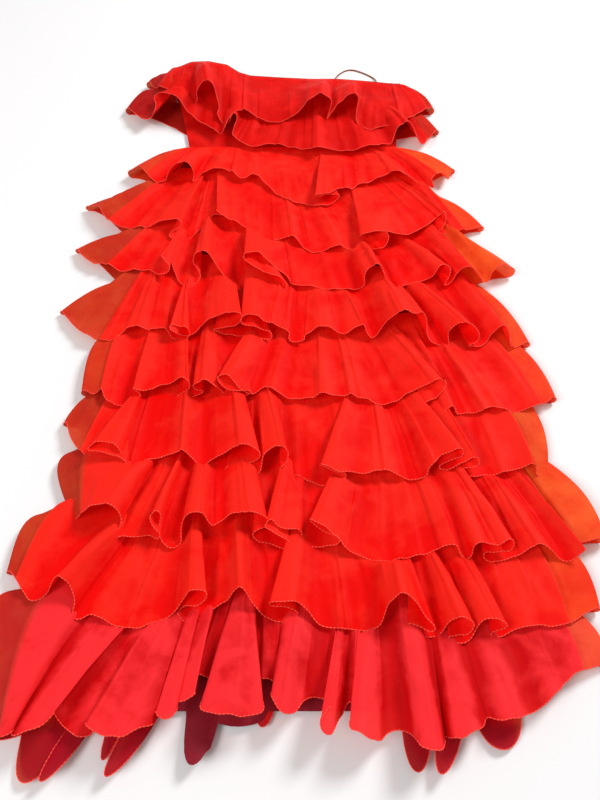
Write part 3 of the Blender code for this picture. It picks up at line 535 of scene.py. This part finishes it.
def body_edge(y, side):
    return panel_edge(BODICE if y >= 0 else SKIRT, y, side)


def to_frame(points):
    """These places in metres, once the top edge has been sloped down to its right end."""
    placed = np.array(points, float)
    x, y = placed[..., 0], placed[..., 1]
    across = ease((x - SLOPE_X[0]) / (SLOPE_X[1] - SLOPE_X[0]))
    up = ease((y - SLOPE_Y[0]) / (SLOPE_Y[1] - SLOPE_Y[0]))
    placed[..., 1] = y + WAIST_Y - TOP_SLOPE * across * up
    return placed * MM


def smooth_route(knots, step):
    """Points at an even step along a smooth curve through the knots."""
    dense = []
    for k in range(len(knots) - 1):
        p0, p1 = knots[max(k - 1, 0)], knots[k]
        p2, p3 = knots[k + 1], knots[min(k + 2, len(knots) - 1)]
        for j in range(KNOT_STEPS):
            t = j / KNOT_STEPS
            dense.append(tuple(
                0.5 * (2 * b + (c - a) * t + (2 * a - 5 * b + 4 * c - d) * t ** 2
                       + (3 * b - a - 3 * c + d) * t ** 3)
                for a, b, c, d in zip(p0, p1, p2, p3)))
    dense.append(knots[-1])
    dense = np.array(dense)
    lengths = np.concatenate([[0.0], np.cumsum(np.linalg.norm(np.diff(dense, axis=0), axis=1))])
    wanted = np.linspace(0, lengths[-1], round(lengths[-1] / step) + 1)
    return np.stack([np.interp(wanted, lengths, dense[:, k]) for k in range(dense.shape[1])], axis=1)


def blurred(values, sigma):
    """These values smoothed along their row, with both ends kept."""
    reach = int(3 * sigma) + 1
    weights = np.exp(-0.5 * (np.arange(-reach, reach + 1) / sigma) ** 2)
    padded = np.concatenate([2 * values[0] - values[reach:0:-1], values,
                             2 * values[-1] - values[-2:-reach - 2:-1]])
    return np.convolve(padded, weights / weights.sum(), "valid")


def front_columns(tier):
    """The front half of a flounce, from its left wing's tip to its right one's."""
    knots = HEMS[tier.name]
    hem = smooth_route([k[:3] for k in knots], HEM_STEP)
    run = np.arange(len(hem)) * HEM_STEP
    seam_left = body_edge(tier.seam, "left") - SEAM_TURN - SEAM_CLEAR
    seam_right = body_edge(tier.seam, "right") + SEAM_TURN + SEAM_CLEAR
    at, roots, start = [0.0], [seam_left], 0
    for k in knots:
        if len(k) > 3:
            near = start + int(np.argmin(np.linalg.norm(hem[start:] - np.array(k[:3]), axis=1)))
            at.append(run[near])
            roots.append(k[3])
            start = near
    root = blurred(np.interp(run, at + [run[-1]], roots + [seam_right]), ROOT_SMOOTH)
    x, y, lift = (blurred(hem[:, k], HEM_SMOOTH) for k in range(3))
    return Front(root, x, y, np.maximum(lift, 0.0), np.full_like(x, float(tier.seam)), run, at[1:])


def tucked(tier, front):
    """Starts the skirt's flounces high enough to stay under the scallops of the hem above."""
    place = TIERS.index(tier)
    if place < FIRST_TUCKED:
        return front
    above = front_columns(TIERS[place - 1])
    near = np.abs(above.x[None, :] - front.root[:, None]) < TUCK_REACH
    highest = np.where(near, above.y[None, :], -FAR).max(axis=1)
    inward = np.minimum(front.root - front.root[0], front.root[-1] - front.root)
    more = np.maximum(np.where(highest > -FAR, highest + TUCK - tier.seam, 0.0), 0.0)
    return front._replace(seam=blurred(tier.seam + more * ease(inward / TUCK_FADE), SEAM_SMOOTH))


def back_hem(tier, x):
    """The y of the back half's hem at this x, which meets the wing tips at both ends."""
    drop = LAST_BACK_HEM if tier is TIERS[-1] else BACK_HEM
    y = np.full_like(x, float(tier.hem + drop))
    left, right = HEMS[tier.name][0], HEMS[tier.name][-1]
    for wing, tip_y, inward in ((tier.left, left[1], x - left[0]), (tier.right, right[1], right[0] - x)):
        y += (tip_y - tier.hem - drop) * (1 - ease(inward / wing.curve))
    return y


def back_level(tier, v):
    """The back half's height, which comes down from its seam's level to the floor."""
    start, end = tier.down
    return mix(BACK_SEAM_Z, BACK_HEM_Z, ease((v - start) / (end - start)))


def turn_radius(wing, v):
    return mix(SEAM_TURN, wing.mouth / 2, v) + wing.puff / 2 * math.sin(math.pi * v)


def waves(run, lengths, seed):
    """Irregular waves of about unit height along a run, the same each time for one seed."""
    draw = np.random.default_rng(seed)
    total = np.zeros_like(run)
    for length in lengths:
        wander = 0.6 * np.sin(2 * math.pi * run / (length * draw.uniform(2.5, 4.0))
                              + draw.uniform(0, 2 * math.pi))
        total += np.sin(2 * math.pi * run / length + wander * 2 + draw.uniform(0, 2 * math.pi))
    return total / math.sqrt(len(lengths))


def slanting_creases(x, y, seed):
    """Crisp creases at a slant to the drop, in patches, up to about 1 high."""
    draw = np.random.default_rng(300 + seed)
    total = np.zeros_like(x)
    for _ in range(SLANTS):
        angle = draw.uniform(-SLANT_ANGLE, SLANT_ANGLE)
        across = x * math.cos(angle) + y * math.sin(angle)
        along = y * math.cos(angle) - x * math.sin(angle)
        turn = across / draw.uniform(*SLANT_GAPS) + np.sin(along / draw.uniform(*SLANT_BENDS))
        patch = np.sin(across / draw.uniform(*SLANT_PATCHES) + draw.uniform(0, 2 * math.pi))
        patch = patch * np.sin(along / draw.uniform(*SLANT_PATCHES) + draw.uniform(0, 2 * math.pi))
        total += np.clip(patch * 1.6, 0.0, 1.0) * (1 - np.abs(np.sin(turn))) ** 2
    return total


def sharp_creases(tier, front, seed):
    """Steps between pleats along the hem: one for each fold of the table and each edge of the
    single cloth, over the whole drop, and some between, over a part of it."""
    draw = np.random.default_rng(200 + seed)
    creases, at = [], PLEATS_FROM
    for fold in front.folds:
        near = int(np.searchsorted(front.run, fold))
        after = front.x[min(near + 4, len(front.x) - 1)] - front.x[near]
        creases.append(Crease(fold, FOLD_HEIGHT, -1 if after < 0 else 1, FOLD_FALL, *WHOLE_DROP))
    first, last = sheer_ends(tier, front.x)
    creases.append(Crease(front.run[first], EDGE_HEIGHT, 1, EDGE_FALL, *WHOLE_DROP))
    creases.append(Crease(front.run[last], EDGE_HEIGHT, -1, EDGE_FALL, *WHOLE_DROP))
    while at < front.run[-1] - PLEATS_FROM:
        start = draw.uniform(*PLEAT_START)
        height = draw.uniform(*PLEAT_HEIGHTS)
        way = 1 if draw.random() < PLEATS_RIGHT else -1
        fall = draw.uniform(*PLEAT_FALL)
        creases.append(Crease(at, height, way, fall, start, start + draw.uniform(*PLEAT_LENGTH)))
        at += draw.uniform(*PLEAT_GAPS)
    return creases


def crease_height(front, creases, v):
    total = np.zeros_like(front.run)
    for c in creases:
        beyond = (front.run - c.at) * c.way
        shape = ease(1 + beyond / PLEAT_STEP) * np.clip(1 - beyond / c.fall, 0.0, 1.0) ** PLEAT_POWER
        begun = ease((v - c.start) / PLEAT_FADE)
        ended = ease((c.end + PLEAT_FADE - v) / PLEAT_FADE)
        total += c.height * shape * float(begun * ended)
    return total


def hem_over(tier):
    """The hem that covers the flounce below it: its y and its lowest height at each x."""
    front = front_columns(tier)
    level = FRONT_SEAM_Z + tier.rest * REST_SHARE + LIFT_SHARE * front.lift
    near = np.abs(front.x[None, :] - HEM_PLACES[:, None]) < HEM_REACH
    y = np.where(near, front.y[None, :], -FAR).max(axis=1)
    z = np.where(near, level[None, :], FAR).min(axis=1)
    return y, z


def under(above, x, y, z):
    """These heights, kept below the flounce above wherever its hem covers them."""
    hem_y, hem_z = above
    covered = np.interp(x, HEM_PLACES, np.where(hem_y > -FAR, hem_y, FAR))
    free = ease((covered - y) / UNDER_FADE)
    return np.minimum(z, np.interp(x, HEM_PLACES, hem_z) - UNDER_GAP + UNDER_RISE * free)


def small_waves(tier, front, seed):
    ends = np.minimum(front.run, front.run[-1] - front.run)
    return Small(
        ends=ends,
        calm=ease(ends / CALM),
        flutes=waves(front.run, FLUTE_LENGTHS, 40 + seed),
        creases=waves(front.run, CREASE_LENGTHS, 60 + seed),
        gathers=waves(front.root, GATHER_LENGTHS, 80 + seed),
        wander=waves(front.run, WANDER_LENGTHS, 20 + seed),
        pleats=sharp_creases(tier, front, seed),
        from_start=np.clip(1 - front.run / tier.left.fade, 0.0, 1.0) ** 2,
        from_end=np.clip(1 - (front.run[-1] - front.run) / tier.right.fade, 0.0, 1.0) ** 2)


def back_columns(tier, front, seed):
    """The back half of a flounce, from its right wing's tip to its left one's."""
    last = tier is TIERS[-1]
    left_x, right_x = front.x[0], front.x[-1]
    x = np.linspace(right_x, left_x, round((right_x - left_x) / (TAIL_STEP if last else BACK_STEP)) + 1)
    root = mix(front.root[0], front.root[-1], (x - left_x) / (right_x - left_x))
    reach, rise, slant = np.zeros_like(x), np.zeros_like(x), np.zeros_like(x)
    for tail in TAILS if last else []:
        off = np.clip((x - tail.x) / tail.width * 2, -1.0, 1.0)
        bump = np.sqrt(1 - off ** 2)
        reach += tail.y * bump ** 0.8
        slant += tail.lean * bump
        rise += tail.rise * bump
    inward = np.minimum(x - left_x, right_x - x)
    ripples = waves(x, BACK_LENGTHS, 100 + seed) * ease(inward / BACK_CALM)
    return Back(root, x, back_hem(tier, x), reach, rise, slant, np.maximum(ripples, 0.0))


def front_row(tier, front, small, above, v, seed):
    """The front half's points at this share of its drop, and how far each stands out, which sets
    its painted highlight and painted shade.
    """
    swing = math.sin(math.pi * v)
    left_swing, right_swing = (math.sin(math.pi * v ** wing.high) for wing in (tier.left, tier.right))
    x = mix(front.root, front.x, v) + (tier.right.bow * right_swing * small.from_end
                                       - tier.left.bow * left_swing * small.from_start)
    climb = (tier.right.climb * right_swing * small.from_end
             + tier.left.climb * left_swing * small.from_start)
    y = mix(front.seam, front.y, v) + climb + small.wander * WANDER * v ** 3 * small.calm
    rested = ease((v - LIFT_FROM) / (LIFT_BY - LIFT_FROM))
    stack = mix(FRONT_SEAM_Z, FRONT_SEAM_Z + tier.rest * REST_SHARE, rested)
    left_top = back_level(tier, v) + 2 * turn_radius(tier.left, v)
    right_top = back_level(tier, v) + 2 * turn_radius(tier.right, v)
    from_left = ease((x - x[0]) / LEVEL_OFF)
    from_right = ease((x[-1] - x) / LEVEL_OFF)
    inner = np.minimum(from_left, from_right)
    z = mix(left_top, mix(right_top, stack, from_right), from_left)
    z = z + body_lift(x, y) + BUST_CLEAR.get(tier.name, 0.0) * inner
    z = z + LIFT_SHARE * front.lift * v ** LIFT_POWER
    z = z + FLUTE * small.flutes * small.calm * v ** 1.5
    z = z + CREASE * small.creases * small.calm * swing ** 0.8 * v ** 0.5
    z = z + crease_height(front, small.pleats, v) * ease(small.ends / PLEAT_CALM)
    slants = SLANT_HEIGHT * slanting_creases(x, y, seed) * ease(small.ends / SLANT_CALM)
    z = z + slants * swing ** 0.5
    if above is not None:
        z = mix(z, under(above, x, y, z), inner)
    # Painted light: cloth that stands above its neighbours gets painted highlight, cloth below them painted
    # shade
    painted_fold_light = np.clip(0.5 + (z - blurred(z, RELIEF_SMOOTH)) / PAINTED_LIGHT_SPAN, 0.0, 1.0)
    at_seam = math.sin(math.pi * min(v * 2.2, 1.0)) ** 2
    z = z + GATHER * np.abs(small.gathers) * small.calm * at_seam
    return np.stack([x, y, z], axis=1), painted_fold_light


def side_turn(tip, way, level, radius):
    """The half round from the front to the back at a wing's edge, from above at its start."""
    angles = math.pi * np.arange(1, TURN_STEPS) / TURN_STEPS
    return np.stack([tip[0] + way * radius * np.sin(angles), np.full(len(angles), tip[1]),
                     level + radius * (1 + np.cos(angles))], axis=1)


def flounce_surface(tier):
    """The flounce's surface as closed rings of points from seam to hem, how far each point stands
    out of the cloth round it, which sets its painted highlight and painted shade, and how many
    points of a ring are its front half's."""
    seed = TIERS.index(tier)
    front = tucked(tier, front_columns(tier))
    small = small_waves(tier, front, seed)
    back = back_columns(tier, front, seed)
    above = hem_over(TIERS[seed - 1]) if seed > 1 else None
    shares = np.linspace(0, 1, ROW_COUNT)
    if tier is TIERS[-1]:
        shares = np.concatenate([np.linspace(0, TAIL_FROM, ROW_COUNT - 4),
                                 np.linspace(TAIL_FROM, 1, TAIL_ROWS)[1:]])
    rings, painted_fold_lights = [], []
    for v in shares:
        points, painted_fold_light = front_row(tier, front, small, above, v, seed)
        level = back_level(tier, v)
        right = side_turn(points[-1], 1, level, turn_radius(tier.right, v))
        left = side_turn(points[0], -1, level, turn_radius(tier.left, v))[::-1]
        tail = float(np.clip((v - TAIL_FROM) / (1 - TAIL_FROM), 0.0, 1.0))
        x = mix(back.root, back.x, v) + back.slant * tail ** 2
        y = mix(tier.seam, back.y, v) + back.reach * tail
        z = level + back.rise * tail + back.waves * BACK_WAVE * v ** 1.5
        x[0], x[-1] = points[-1, 0], points[0, 0]
        y[0], y[-1] = points[-1, 1], points[0, 1]
        rings.append(np.concatenate([points, right, np.stack([x, y, z], axis=1), left]))
        # Painted shade: the side turns get a middle value, and the back half, under the front, a deeper one
        turn = np.full(len(right), 0.5)
        painted_fold_lights.append(np.concatenate([painted_fold_light, turn, np.full(len(x), 0.3), turn]))
    return np.array(rings), np.array(painted_fold_lights), len(front.run)


def link(name, data):
    made = bpy.data.objects.new(name, data)
    bpy.context.scene.collection.objects.link(made)
    return made


def grid_faces(rows, size, closed):
    last = size if closed else size - 1
    r, c = np.meshgrid(np.arange(rows - 1), np.arange(last), indexing="ij")
    n = (c + 1) % size
    return np.stack([r * size + c, (r + 1) * size + c, (r + 1) * size + n, r * size + n],
                    axis=-1).reshape(-1, 4)


def smooth_mesh(name, points, faces, look, shades):
    """A smooth piece from points in millimetres, which keeps each of its shades point by point."""
    mesh = bpy.data.meshes.new(name)
    mesh.from_pydata(to_frame(points).reshape(-1, 3).tolist(), [], faces)
    mesh.shade_smooth()
    mesh.materials.append(look)
    for shade, values in shades.items():
        layer = mesh.attributes.new(shade, "FLOAT", "POINT")
        layer.data.foreach_set("value", values.reshape(-1).astype(np.float32))
    return link(name, mesh)


def surface_mesh(name, points, closed, look, shades):
    rows, size = points.shape[:2]
    return smooth_mesh(name, points, grid_faces(rows, size, closed).tolist(), look, shades)


def even_path(points, step):
    """The same closed path at an even step, with the length run along it."""
    points = np.concatenate([points, points[:1]])
    run = np.concatenate([[0.0], np.cumsum(np.linalg.norm(np.diff(points, axis=0), axis=1))])
    wanted = np.linspace(0, run[-1], round(run[-1] / step) + 1)[:-1]
    return np.stack([np.interp(wanted, run, points[:, k]) for k in range(3)], axis=1), wanted


def rolled_hem(name, line, look):
    """A narrow rolled hem along a closed line, with a bead for each of its overlock stitches."""
    path, run = even_path(line, HEM_BEAD / 4)
    beads = 0.5 + 0.5 * np.cos(2 * math.pi * run / HEM_BEAD)
    radii = HEM_RADIUS + HEM_RELIEF * beads
    path[:, 2] = np.maximum(path[:, 2], HEM_RADIUS + HEM_RELIEF)
    ahead = np.roll(path, -1, axis=0) - np.roll(path, 1, axis=0)
    ahead /= np.linalg.norm(ahead, axis=1, keepdims=True) + 1e-9
    side = np.cross(ahead, np.array([0.0, 0.0, 1.0]))
    side /= np.linalg.norm(side, axis=1, keepdims=True) + 1e-9
    over = np.cross(side, ahead)
    angles = 2 * math.pi * np.arange(HEM_SIDES) / HEM_SIDES
    rings = (path[:, None, :] + radii[:, None, None] * (
        np.cos(angles)[None, :, None] * side[:, None, :]
        + np.sin(angles)[None, :, None] * over[:, None, :]))
    r, c = np.meshgrid(np.arange(len(path)), np.arange(HEM_SIDES), indexing="ij")
    m, n = (r + 1) % len(path), (c + 1) % HEM_SIDES
    faces = np.stack([r * HEM_SIDES + c, r * HEM_SIDES + n, m * HEM_SIDES + n, m * HEM_SIDES + c], axis=-1)
    return smooth_mesh(name, rings, faces.reshape(-1, 4).tolist(), look,
                       {"stitch": np.repeat(beads, HEM_SIDES)})


def new_material(name):
    made = bpy.data.materials.new(name)
    made.use_nodes = True
    return made, made.node_tree.nodes, made.node_tree.links


def node(nodes, kind, **values):
    made = nodes.new(kind)
    for key, value in values.items():
        if hasattr(made, key):
            setattr(made, key, value)
        else:
            made.inputs[key.replace("_", " ")].default_value = value
    return made


def noise(nodes, links, place, **values):
    made = node(nodes, "ShaderNodeTexNoise", **values)
    links.new(place, made.inputs["Vector"])
    return made.outputs["Fac"]


def spread(nodes, links, value, low, high):
    """This value, stretched so that these two limits become 0 and 1."""
    made = node(nodes, "ShaderNodeMapRange", From_Min=low, From_Max=high)
    links.new(value, made.inputs["Value"])
    return made.outputs["Result"]


def mixed(nodes, links, factor, under, over):
    """The first colour where the factor is 0 and the second where it is 1."""
    made = nodes.new("ShaderNodeMix")
    made.data_type = "RGBA"
    links.new(factor, made.inputs["Factor"])
    for side, colour in (("A", under), ("B", over)):
        if isinstance(colour, tuple):
            made.inputs[side].default_value = (*colour, 1.0)
        else:
            links.new(colour, made.inputs[side])
    return made.outputs["Result"]


def bumped(nodes, links, height, strength, distance, normal=None):
    made = node(nodes, "ShaderNodeBump", Strength=strength, Distance=distance)
    links.new(height, made.inputs["Height"])
    if normal is not None:
        links.new(normal, made.inputs["Normal"])
    return made.outputs["Normal"]


def shade_value(nodes, name):
    """A value that the mesh keeps at each of its points."""
    made = nodes.new("ShaderNodeAttribute")
    made.attribute_name = name
    return made.outputs["Fac"]


def cloth_look(name, chiffon, see=0.06, glow=0.16):
    """Crinkled chiffon: mottled, with painted highlight on the tops of its folds and painted shade
    in their hollows, a little sheer, more orange where it lies single, and darker with painted
    shade where the mesh marks it."""
    made, nodes, links = new_material(name)
    shader = nodes["Principled BSDF"]
    shader.inputs["Roughness"].default_value = 0.6
    shader.inputs["Specular IOR Level"].default_value = 0.07
    shader.inputs["Sheen Weight"].default_value = 0.05
    shader.inputs["Sheen Roughness"].default_value = 0.4
    shader.inputs["Sheen Tint"].default_value = SHEEN_TINT
    place = nodes.new("ShaderNodeTexCoord").outputs["Object"]
    blotch = noise(nodes, links, place, Scale=19.0, Detail=4.0, Roughness=0.62, Distortion=0.5)
    # Painted highlight on fold tops and painted shade in hollows, mixed with the random mottling into one
    # colour
    both = node(nodes, "ShaderNodeMath", operation="MULTIPLY_ADD")
    both.inputs[1].default_value = PAINTED_LIGHT_SHARE
    links.new(shade_value(nodes, "painted_fold_light"), both.inputs[0])
    links.new(blotch, both.inputs[2])
    raised = spread(nodes, links, both.outputs["Value"], 0.56, 0.84)
    mottled = mixed(nodes, links, raised, chiffon.deep, chiffon.pale)
    cloudy = noise(nodes, links, place, Scale=22.0, Detail=4.0, Roughness=0.6, Distortion=0.3)
    clouds = spread(nodes, links, cloudy, 0.38, 0.62)
    dusk = tuple(part * share for part, share in zip(chiffon.single, DUSK))
    orange = mixed(nodes, links, clouds, dusk, chiffon.single)
    single = shade_value(nodes, "single")
    tint = mixed(nodes, links, single, mottled, orange)
    # Painted shade: darker towards the painted shade colour where the mesh marks it
    tint = mixed(nodes, links, shade_value(nodes, "painted_shade"), tint, PAINTED_SHADE_COLOUR)
    links.new(tint, shader.inputs["Base Color"])
    crease = noise(nodes, links, place, Scale=60.0, Detail=3.0, Distortion=0.8)
    crinkle = noise(nodes, links, place, Scale=420.0, Detail=3.0, Roughness=0.7)
    soft = bumped(nodes, links, crease, 0.22, 0.0026)
    fine = bumped(nodes, links, crinkle, 0.3, 0.0005, soft)
    links.new(fine, shader.inputs["Normal"])
    through = nodes.new("ShaderNodeBsdfTranslucent")
    links.new(tint, through.inputs["Color"])
    links.new(fine, through.inputs["Normal"])
    lit = node(nodes, "ShaderNodeMixShader", Fac=glow)
    links.new(shader.outputs["BSDF"], lit.inputs[1])
    links.new(through.outputs["BSDF"], lit.inputs[2])
    clear = node(nodes, "ShaderNodeBsdfTransparent", Color=CLEAR_TINT)
    open_share = node(nodes, "ShaderNodeMath", operation="MULTIPLY_ADD")
    open_share.inputs[1].default_value = SINGLE_OPEN
    open_share.inputs[2].default_value = see
    links.new(single, open_share.inputs[0])
    sheer = nodes.new("ShaderNodeMixShader")
    links.new(open_share.outputs["Value"], sheer.inputs["Fac"])
    links.new(lit.outputs["Shader"], sheer.inputs[1])
    links.new(clear.outputs["BSDF"], sheer.inputs[2])
    links.new(sheer.outputs["Shader"], nodes["Material Output"].inputs["Surface"])
    return made


def plain_look(name, colour, deep, scale, bump=0.0004, stitched=False):
    """A matt thread or lining, mottled at this scale, or paler at each of its stitches."""
    made, nodes, links = new_material(name)
    shader = nodes["Principled BSDF"]
    shader.inputs["Roughness"].default_value = 0.6
    shader.inputs["Sheen Weight"].default_value = 0.04
    shader.inputs["Specular IOR Level"].default_value = 0.15
    place = nodes.new("ShaderNodeTexCoord").outputs["Object"]
    blotch = noise(nodes, links, place, Scale=scale, Detail=3.0)
    factor = shade_value(nodes, "stitch") if stitched else blotch
    links.new(mixed(nodes, links, factor, deep, colour), shader.inputs["Base Color"])
    links.new(bumped(nodes, links, blotch, 0.4, bump), shader.inputs["Normal"])
    return made


def make_camera():
    data = bpy.data.cameras.new("photo_camera")
    data.sensor_fit = "VERTICAL"
    data.sensor_height = 36.0
    data.lens = CAMERA_LENS
    camera = link("photo_camera", data)
    camera.location = CAMERA_PLACE
    camera.rotation_euler = (math.radians(CAMERA_TILT), 0.0, 0.0)
    bpy.context.scene.camera = camera


def make_light(lamp):
    """A round lamp that points at the middle of the floor."""
    data = bpy.data.lights.new(lamp.name, "AREA")
    data.shape = "DISK"
    data.size = lamp.size
    data.energy = lamp.power
    made = link(lamp.name, data)
    made.location = lamp.place
    made.rotation_euler = (-Vector(lamp.place)).to_track_quat("-Z", "Y").to_euler()


def make_stage():
    floor = bpy.data.meshes.new("floor")
    corners = [(FLOOR_REACH * x, FLOOR_REACH * y, 0) for x, y in ((-1, -1), (1, -1), (1, 1), (-1, 1))]
    floor.from_pydata(corners, [], [(0, 1, 2, 3)])
    look, nodes, links = new_material("floor_paint")
    shader = nodes["Principled BSDF"]
    shader.inputs["Base Color"].default_value = FLOOR_COLOUR
    shader.inputs["Roughness"].default_value = 0.9
    shader.inputs["Specular IOR Level"].default_value = 0.1
    floor.materials.append(look)
    link("floor", floor)
    world = bpy.data.worlds.new("studio")
    world.use_nodes = True
    world.node_tree.nodes["Background"].inputs["Color"].default_value = (1.0, 1.0, 1.0, 1.0)
    world.node_tree.nodes["Background"].inputs["Strength"].default_value = WORLD_LIGHT
    bpy.context.scene.world = world
    bpy.context.scene.view_settings.view_transform = "Standard"
    for lamp in LAMPS:
        make_light(lamp)


def keep(piece, slot, *solids):
    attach(piece, "root")
    if solids:
        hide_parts(*solids)
    return piece


def add_loop(look):
    curve = bpy.data.curves.new("loop_cord", "CURVE")
    curve.dimensions = "3D"
    curve.bevel_depth = LOOP_THICK / 2 * MM
    curve.bevel_resolution = 4
    curve.use_fill_caps = True
    route = to_frame(smooth_route(LOOP_ROUTE, LOOP_STEP))
    spline = curve.splines.new("POLY")
    spline.points.add(len(route) - 1)
    for point, place in zip(spline.points, route):
        point.co = (*place, 1.0)
    curve.materials.append(look)
    loop = keep(link("loop_cord", curve), "cord", "hanging_loop")


def add_panel(name, solid, sections, z, look, slot, lift=None, ripple=0.0, seed=0, step=PANEL_STEP,
              tails=()):
    """One layer of the dress's body, with ripples that are calm at its sides and most at its end."""
    top, bottom = sections[0].y, sections[-1].y
    rows = []
    across = np.linspace(0, 1, round(PANEL_SPAN / step) + 1)
    for y in np.linspace(top, bottom, round((top - bottom) / step) + 1):
        left, right = (panel_edge(sections, y, side) for side in ("left", "right"))
        x = mix(left, right, across)
        height = z + (lift(x, np.full_like(x, y)) if lift else 0.0)
        calm = ease(np.minimum(x - left, right - x) / PANEL_CALM)
        near_end = 1 - ease((y - bottom) / PANEL_END)
        wave = waves(x * 0.9 + 0.25 * y, RIPPLE_LENGTHS, seed) * calm * (0.35 + 0.65 * near_end)
        rows.append(np.stack([x, np.full_like(x, y), height + ripple * np.abs(wave)], axis=1))
    points = np.array(rows)
    for tail in tails:
        off = np.clip((points[:, :, 0] - tail.x) / tail.width * 2, -1.0, 1.0)
        near = np.clip((bottom + TAIL_ROOT - points[:, :, 1]) / TAIL_ROOT, 0.0, 1.0)
        bump = np.sqrt(1 - off ** 2) ** 0.8 * near
        points[:, :, 0] += tail.lean * bump
        points[:, :, 1] += tail.y * bump
        points[:, :, 2] += tail.rise * bump * np.sqrt(1 - off ** 2)
    # An even middle value of the painted fold highlight and shade
    shades = {"painted_fold_light": np.full(points.shape[:2], 0.5)}
    piece = keep(surface_mesh(name, points, False, look, shades), slot, solid)


def sheer_ends(tier, hem_x):
    """The columns at which the front's double cloth starts and ends."""
    left_fold, right_fold = SHEER[tier.name][:2]
    return int(np.argmax(hem_x > left_fold)), len(hem_x) - 1 - int(np.argmax(hem_x[::-1] < right_fold))


def sheer_share(tier, points, front_size):
    """How far each point of a flounce lies single: outside the fold lines at its two sides, and
    past the dress's body on its back half."""
    single = np.zeros(points.shape[:2])
    left_share, right_share = SHEER[tier.name][2:]
    for row in range(points.shape[0]):
        x, y = points[row, :, 0], float(points[row, :, 1].mean())
        past_left = ease((body_edge(y, "left") - x + BODY_REACH) / BODY_FADE) * left_share
        past_right = ease((x - body_edge(y, "right") + BODY_REACH) / BODY_FADE) * right_share
        single[row] = np.maximum(past_left, past_right)
    first, last = sheer_ends(tier, points[-1, :front_size, 0])
    columns = np.arange(front_size)
    single[:, :front_size] = np.maximum(ease((first - columns + 1) / EDGE_COLUMNS) * left_share,
                                        ease((columns - last + 1) / EDGE_COLUMNS) * right_share)
    return single


def painted_shade_share(tier, points, single, front_size):
    """How far each point gets painted shade: on the single cloth at the left, and on the tails past
    the last hem."""
    # Painted shade on the single cloth at the left side, which gets less light
    shade = LEFT_PAINTED_SHADE * ease((SHADE_FROM - points[:, :, 0]) / SHADE_FADE) * single
    if tier is TIERS[-1]:
        # Painted shade on the tails, which lie under the front of the last flounce, partly standing for
        # their doubled cloth
        shade[:, front_size:] = ease((TAILS_BELOW - points[:, front_size:, 1]) / TAILS_FADE)
    return shade


def add_flounce(tier, look, hem_look):
    points, painted_fold_lights, front_size = flounce_surface(tier)
    single = sheer_share(tier, points, front_size)
    # Painted highlight and shade on the folds, and painted shade on the single cloth at the left and on the
    # tails
    shades = {"single": single, "painted_fold_light": painted_fold_lights, "painted_shade": painted_shade_share(tier, points, single, front_size)}
    piece = keep(surface_mesh(tier.name + "_cloth", points, True, look, shades), "chiffon", tier.name)
    hem = keep(rolled_hem(tier.name + "_hem", points[-1], hem_look), "chiffon")


def main():
    make_camera()
    add_loop(plain_look("cord_look", (0.36, 0.10, 0.035), (0.20, 0.045, 0.015), 900.0))
    make_stage()
    hem_look = plain_look("hem_thread", (0.98, 0.095, 0.062), (0.80, 0.022, 0.015), 700.0, stitched=True)
    lining_look = plain_look("lining_cloth", (0.31, 0.008, 0.022), (0.14, 0.004, 0.011), 30.0, 0.002)
    bodice_look = cloth_look("bodice_chiffon", BODICE_CHIFFON, 0.02, 0.1)
    add_panel("bodice_front_cloth", "bodice_front", BODICE, FRONT_PANEL_Z, bodice_look, "chiffon",
              body_lift, 0.5, 3)
    add_panel("bodice_back_cloth", "bodice_back", BODICE, BACK_PANEL_Z, bodice_look, "chiffon")
    add_panel("lining_front", "skirt_front", SKIRT, FRONT_PANEL_Z, lining_look, "lining",
              None, 0.3, 5, LINING_STEP, LINING_TAILS)
    add_panel("lining_back", "skirt_back", SKIRT, BACK_PANEL_Z, lining_look, "lining")
    edge_look = plain_look("top_binding_look", (0.42, 0.020, 0.010), (0.25, 0.010, 0.006), 600.0)
    keep(rolled_hem("top_binding", flounce_surface(TIERS[0])[0][0], edge_look), "chiffon")
    chiffons = [BUST_CHIFFON] * 2 + [SKIRT_CHIFFON] * (len(TIERS) - 3) + [LAST_CHIFFON]
    for tier, chiffon in zip(TIERS, chiffons):
        add_flounce(tier, cloth_look(tier.name + "_chiffon", chiffon), hem_look)


main()
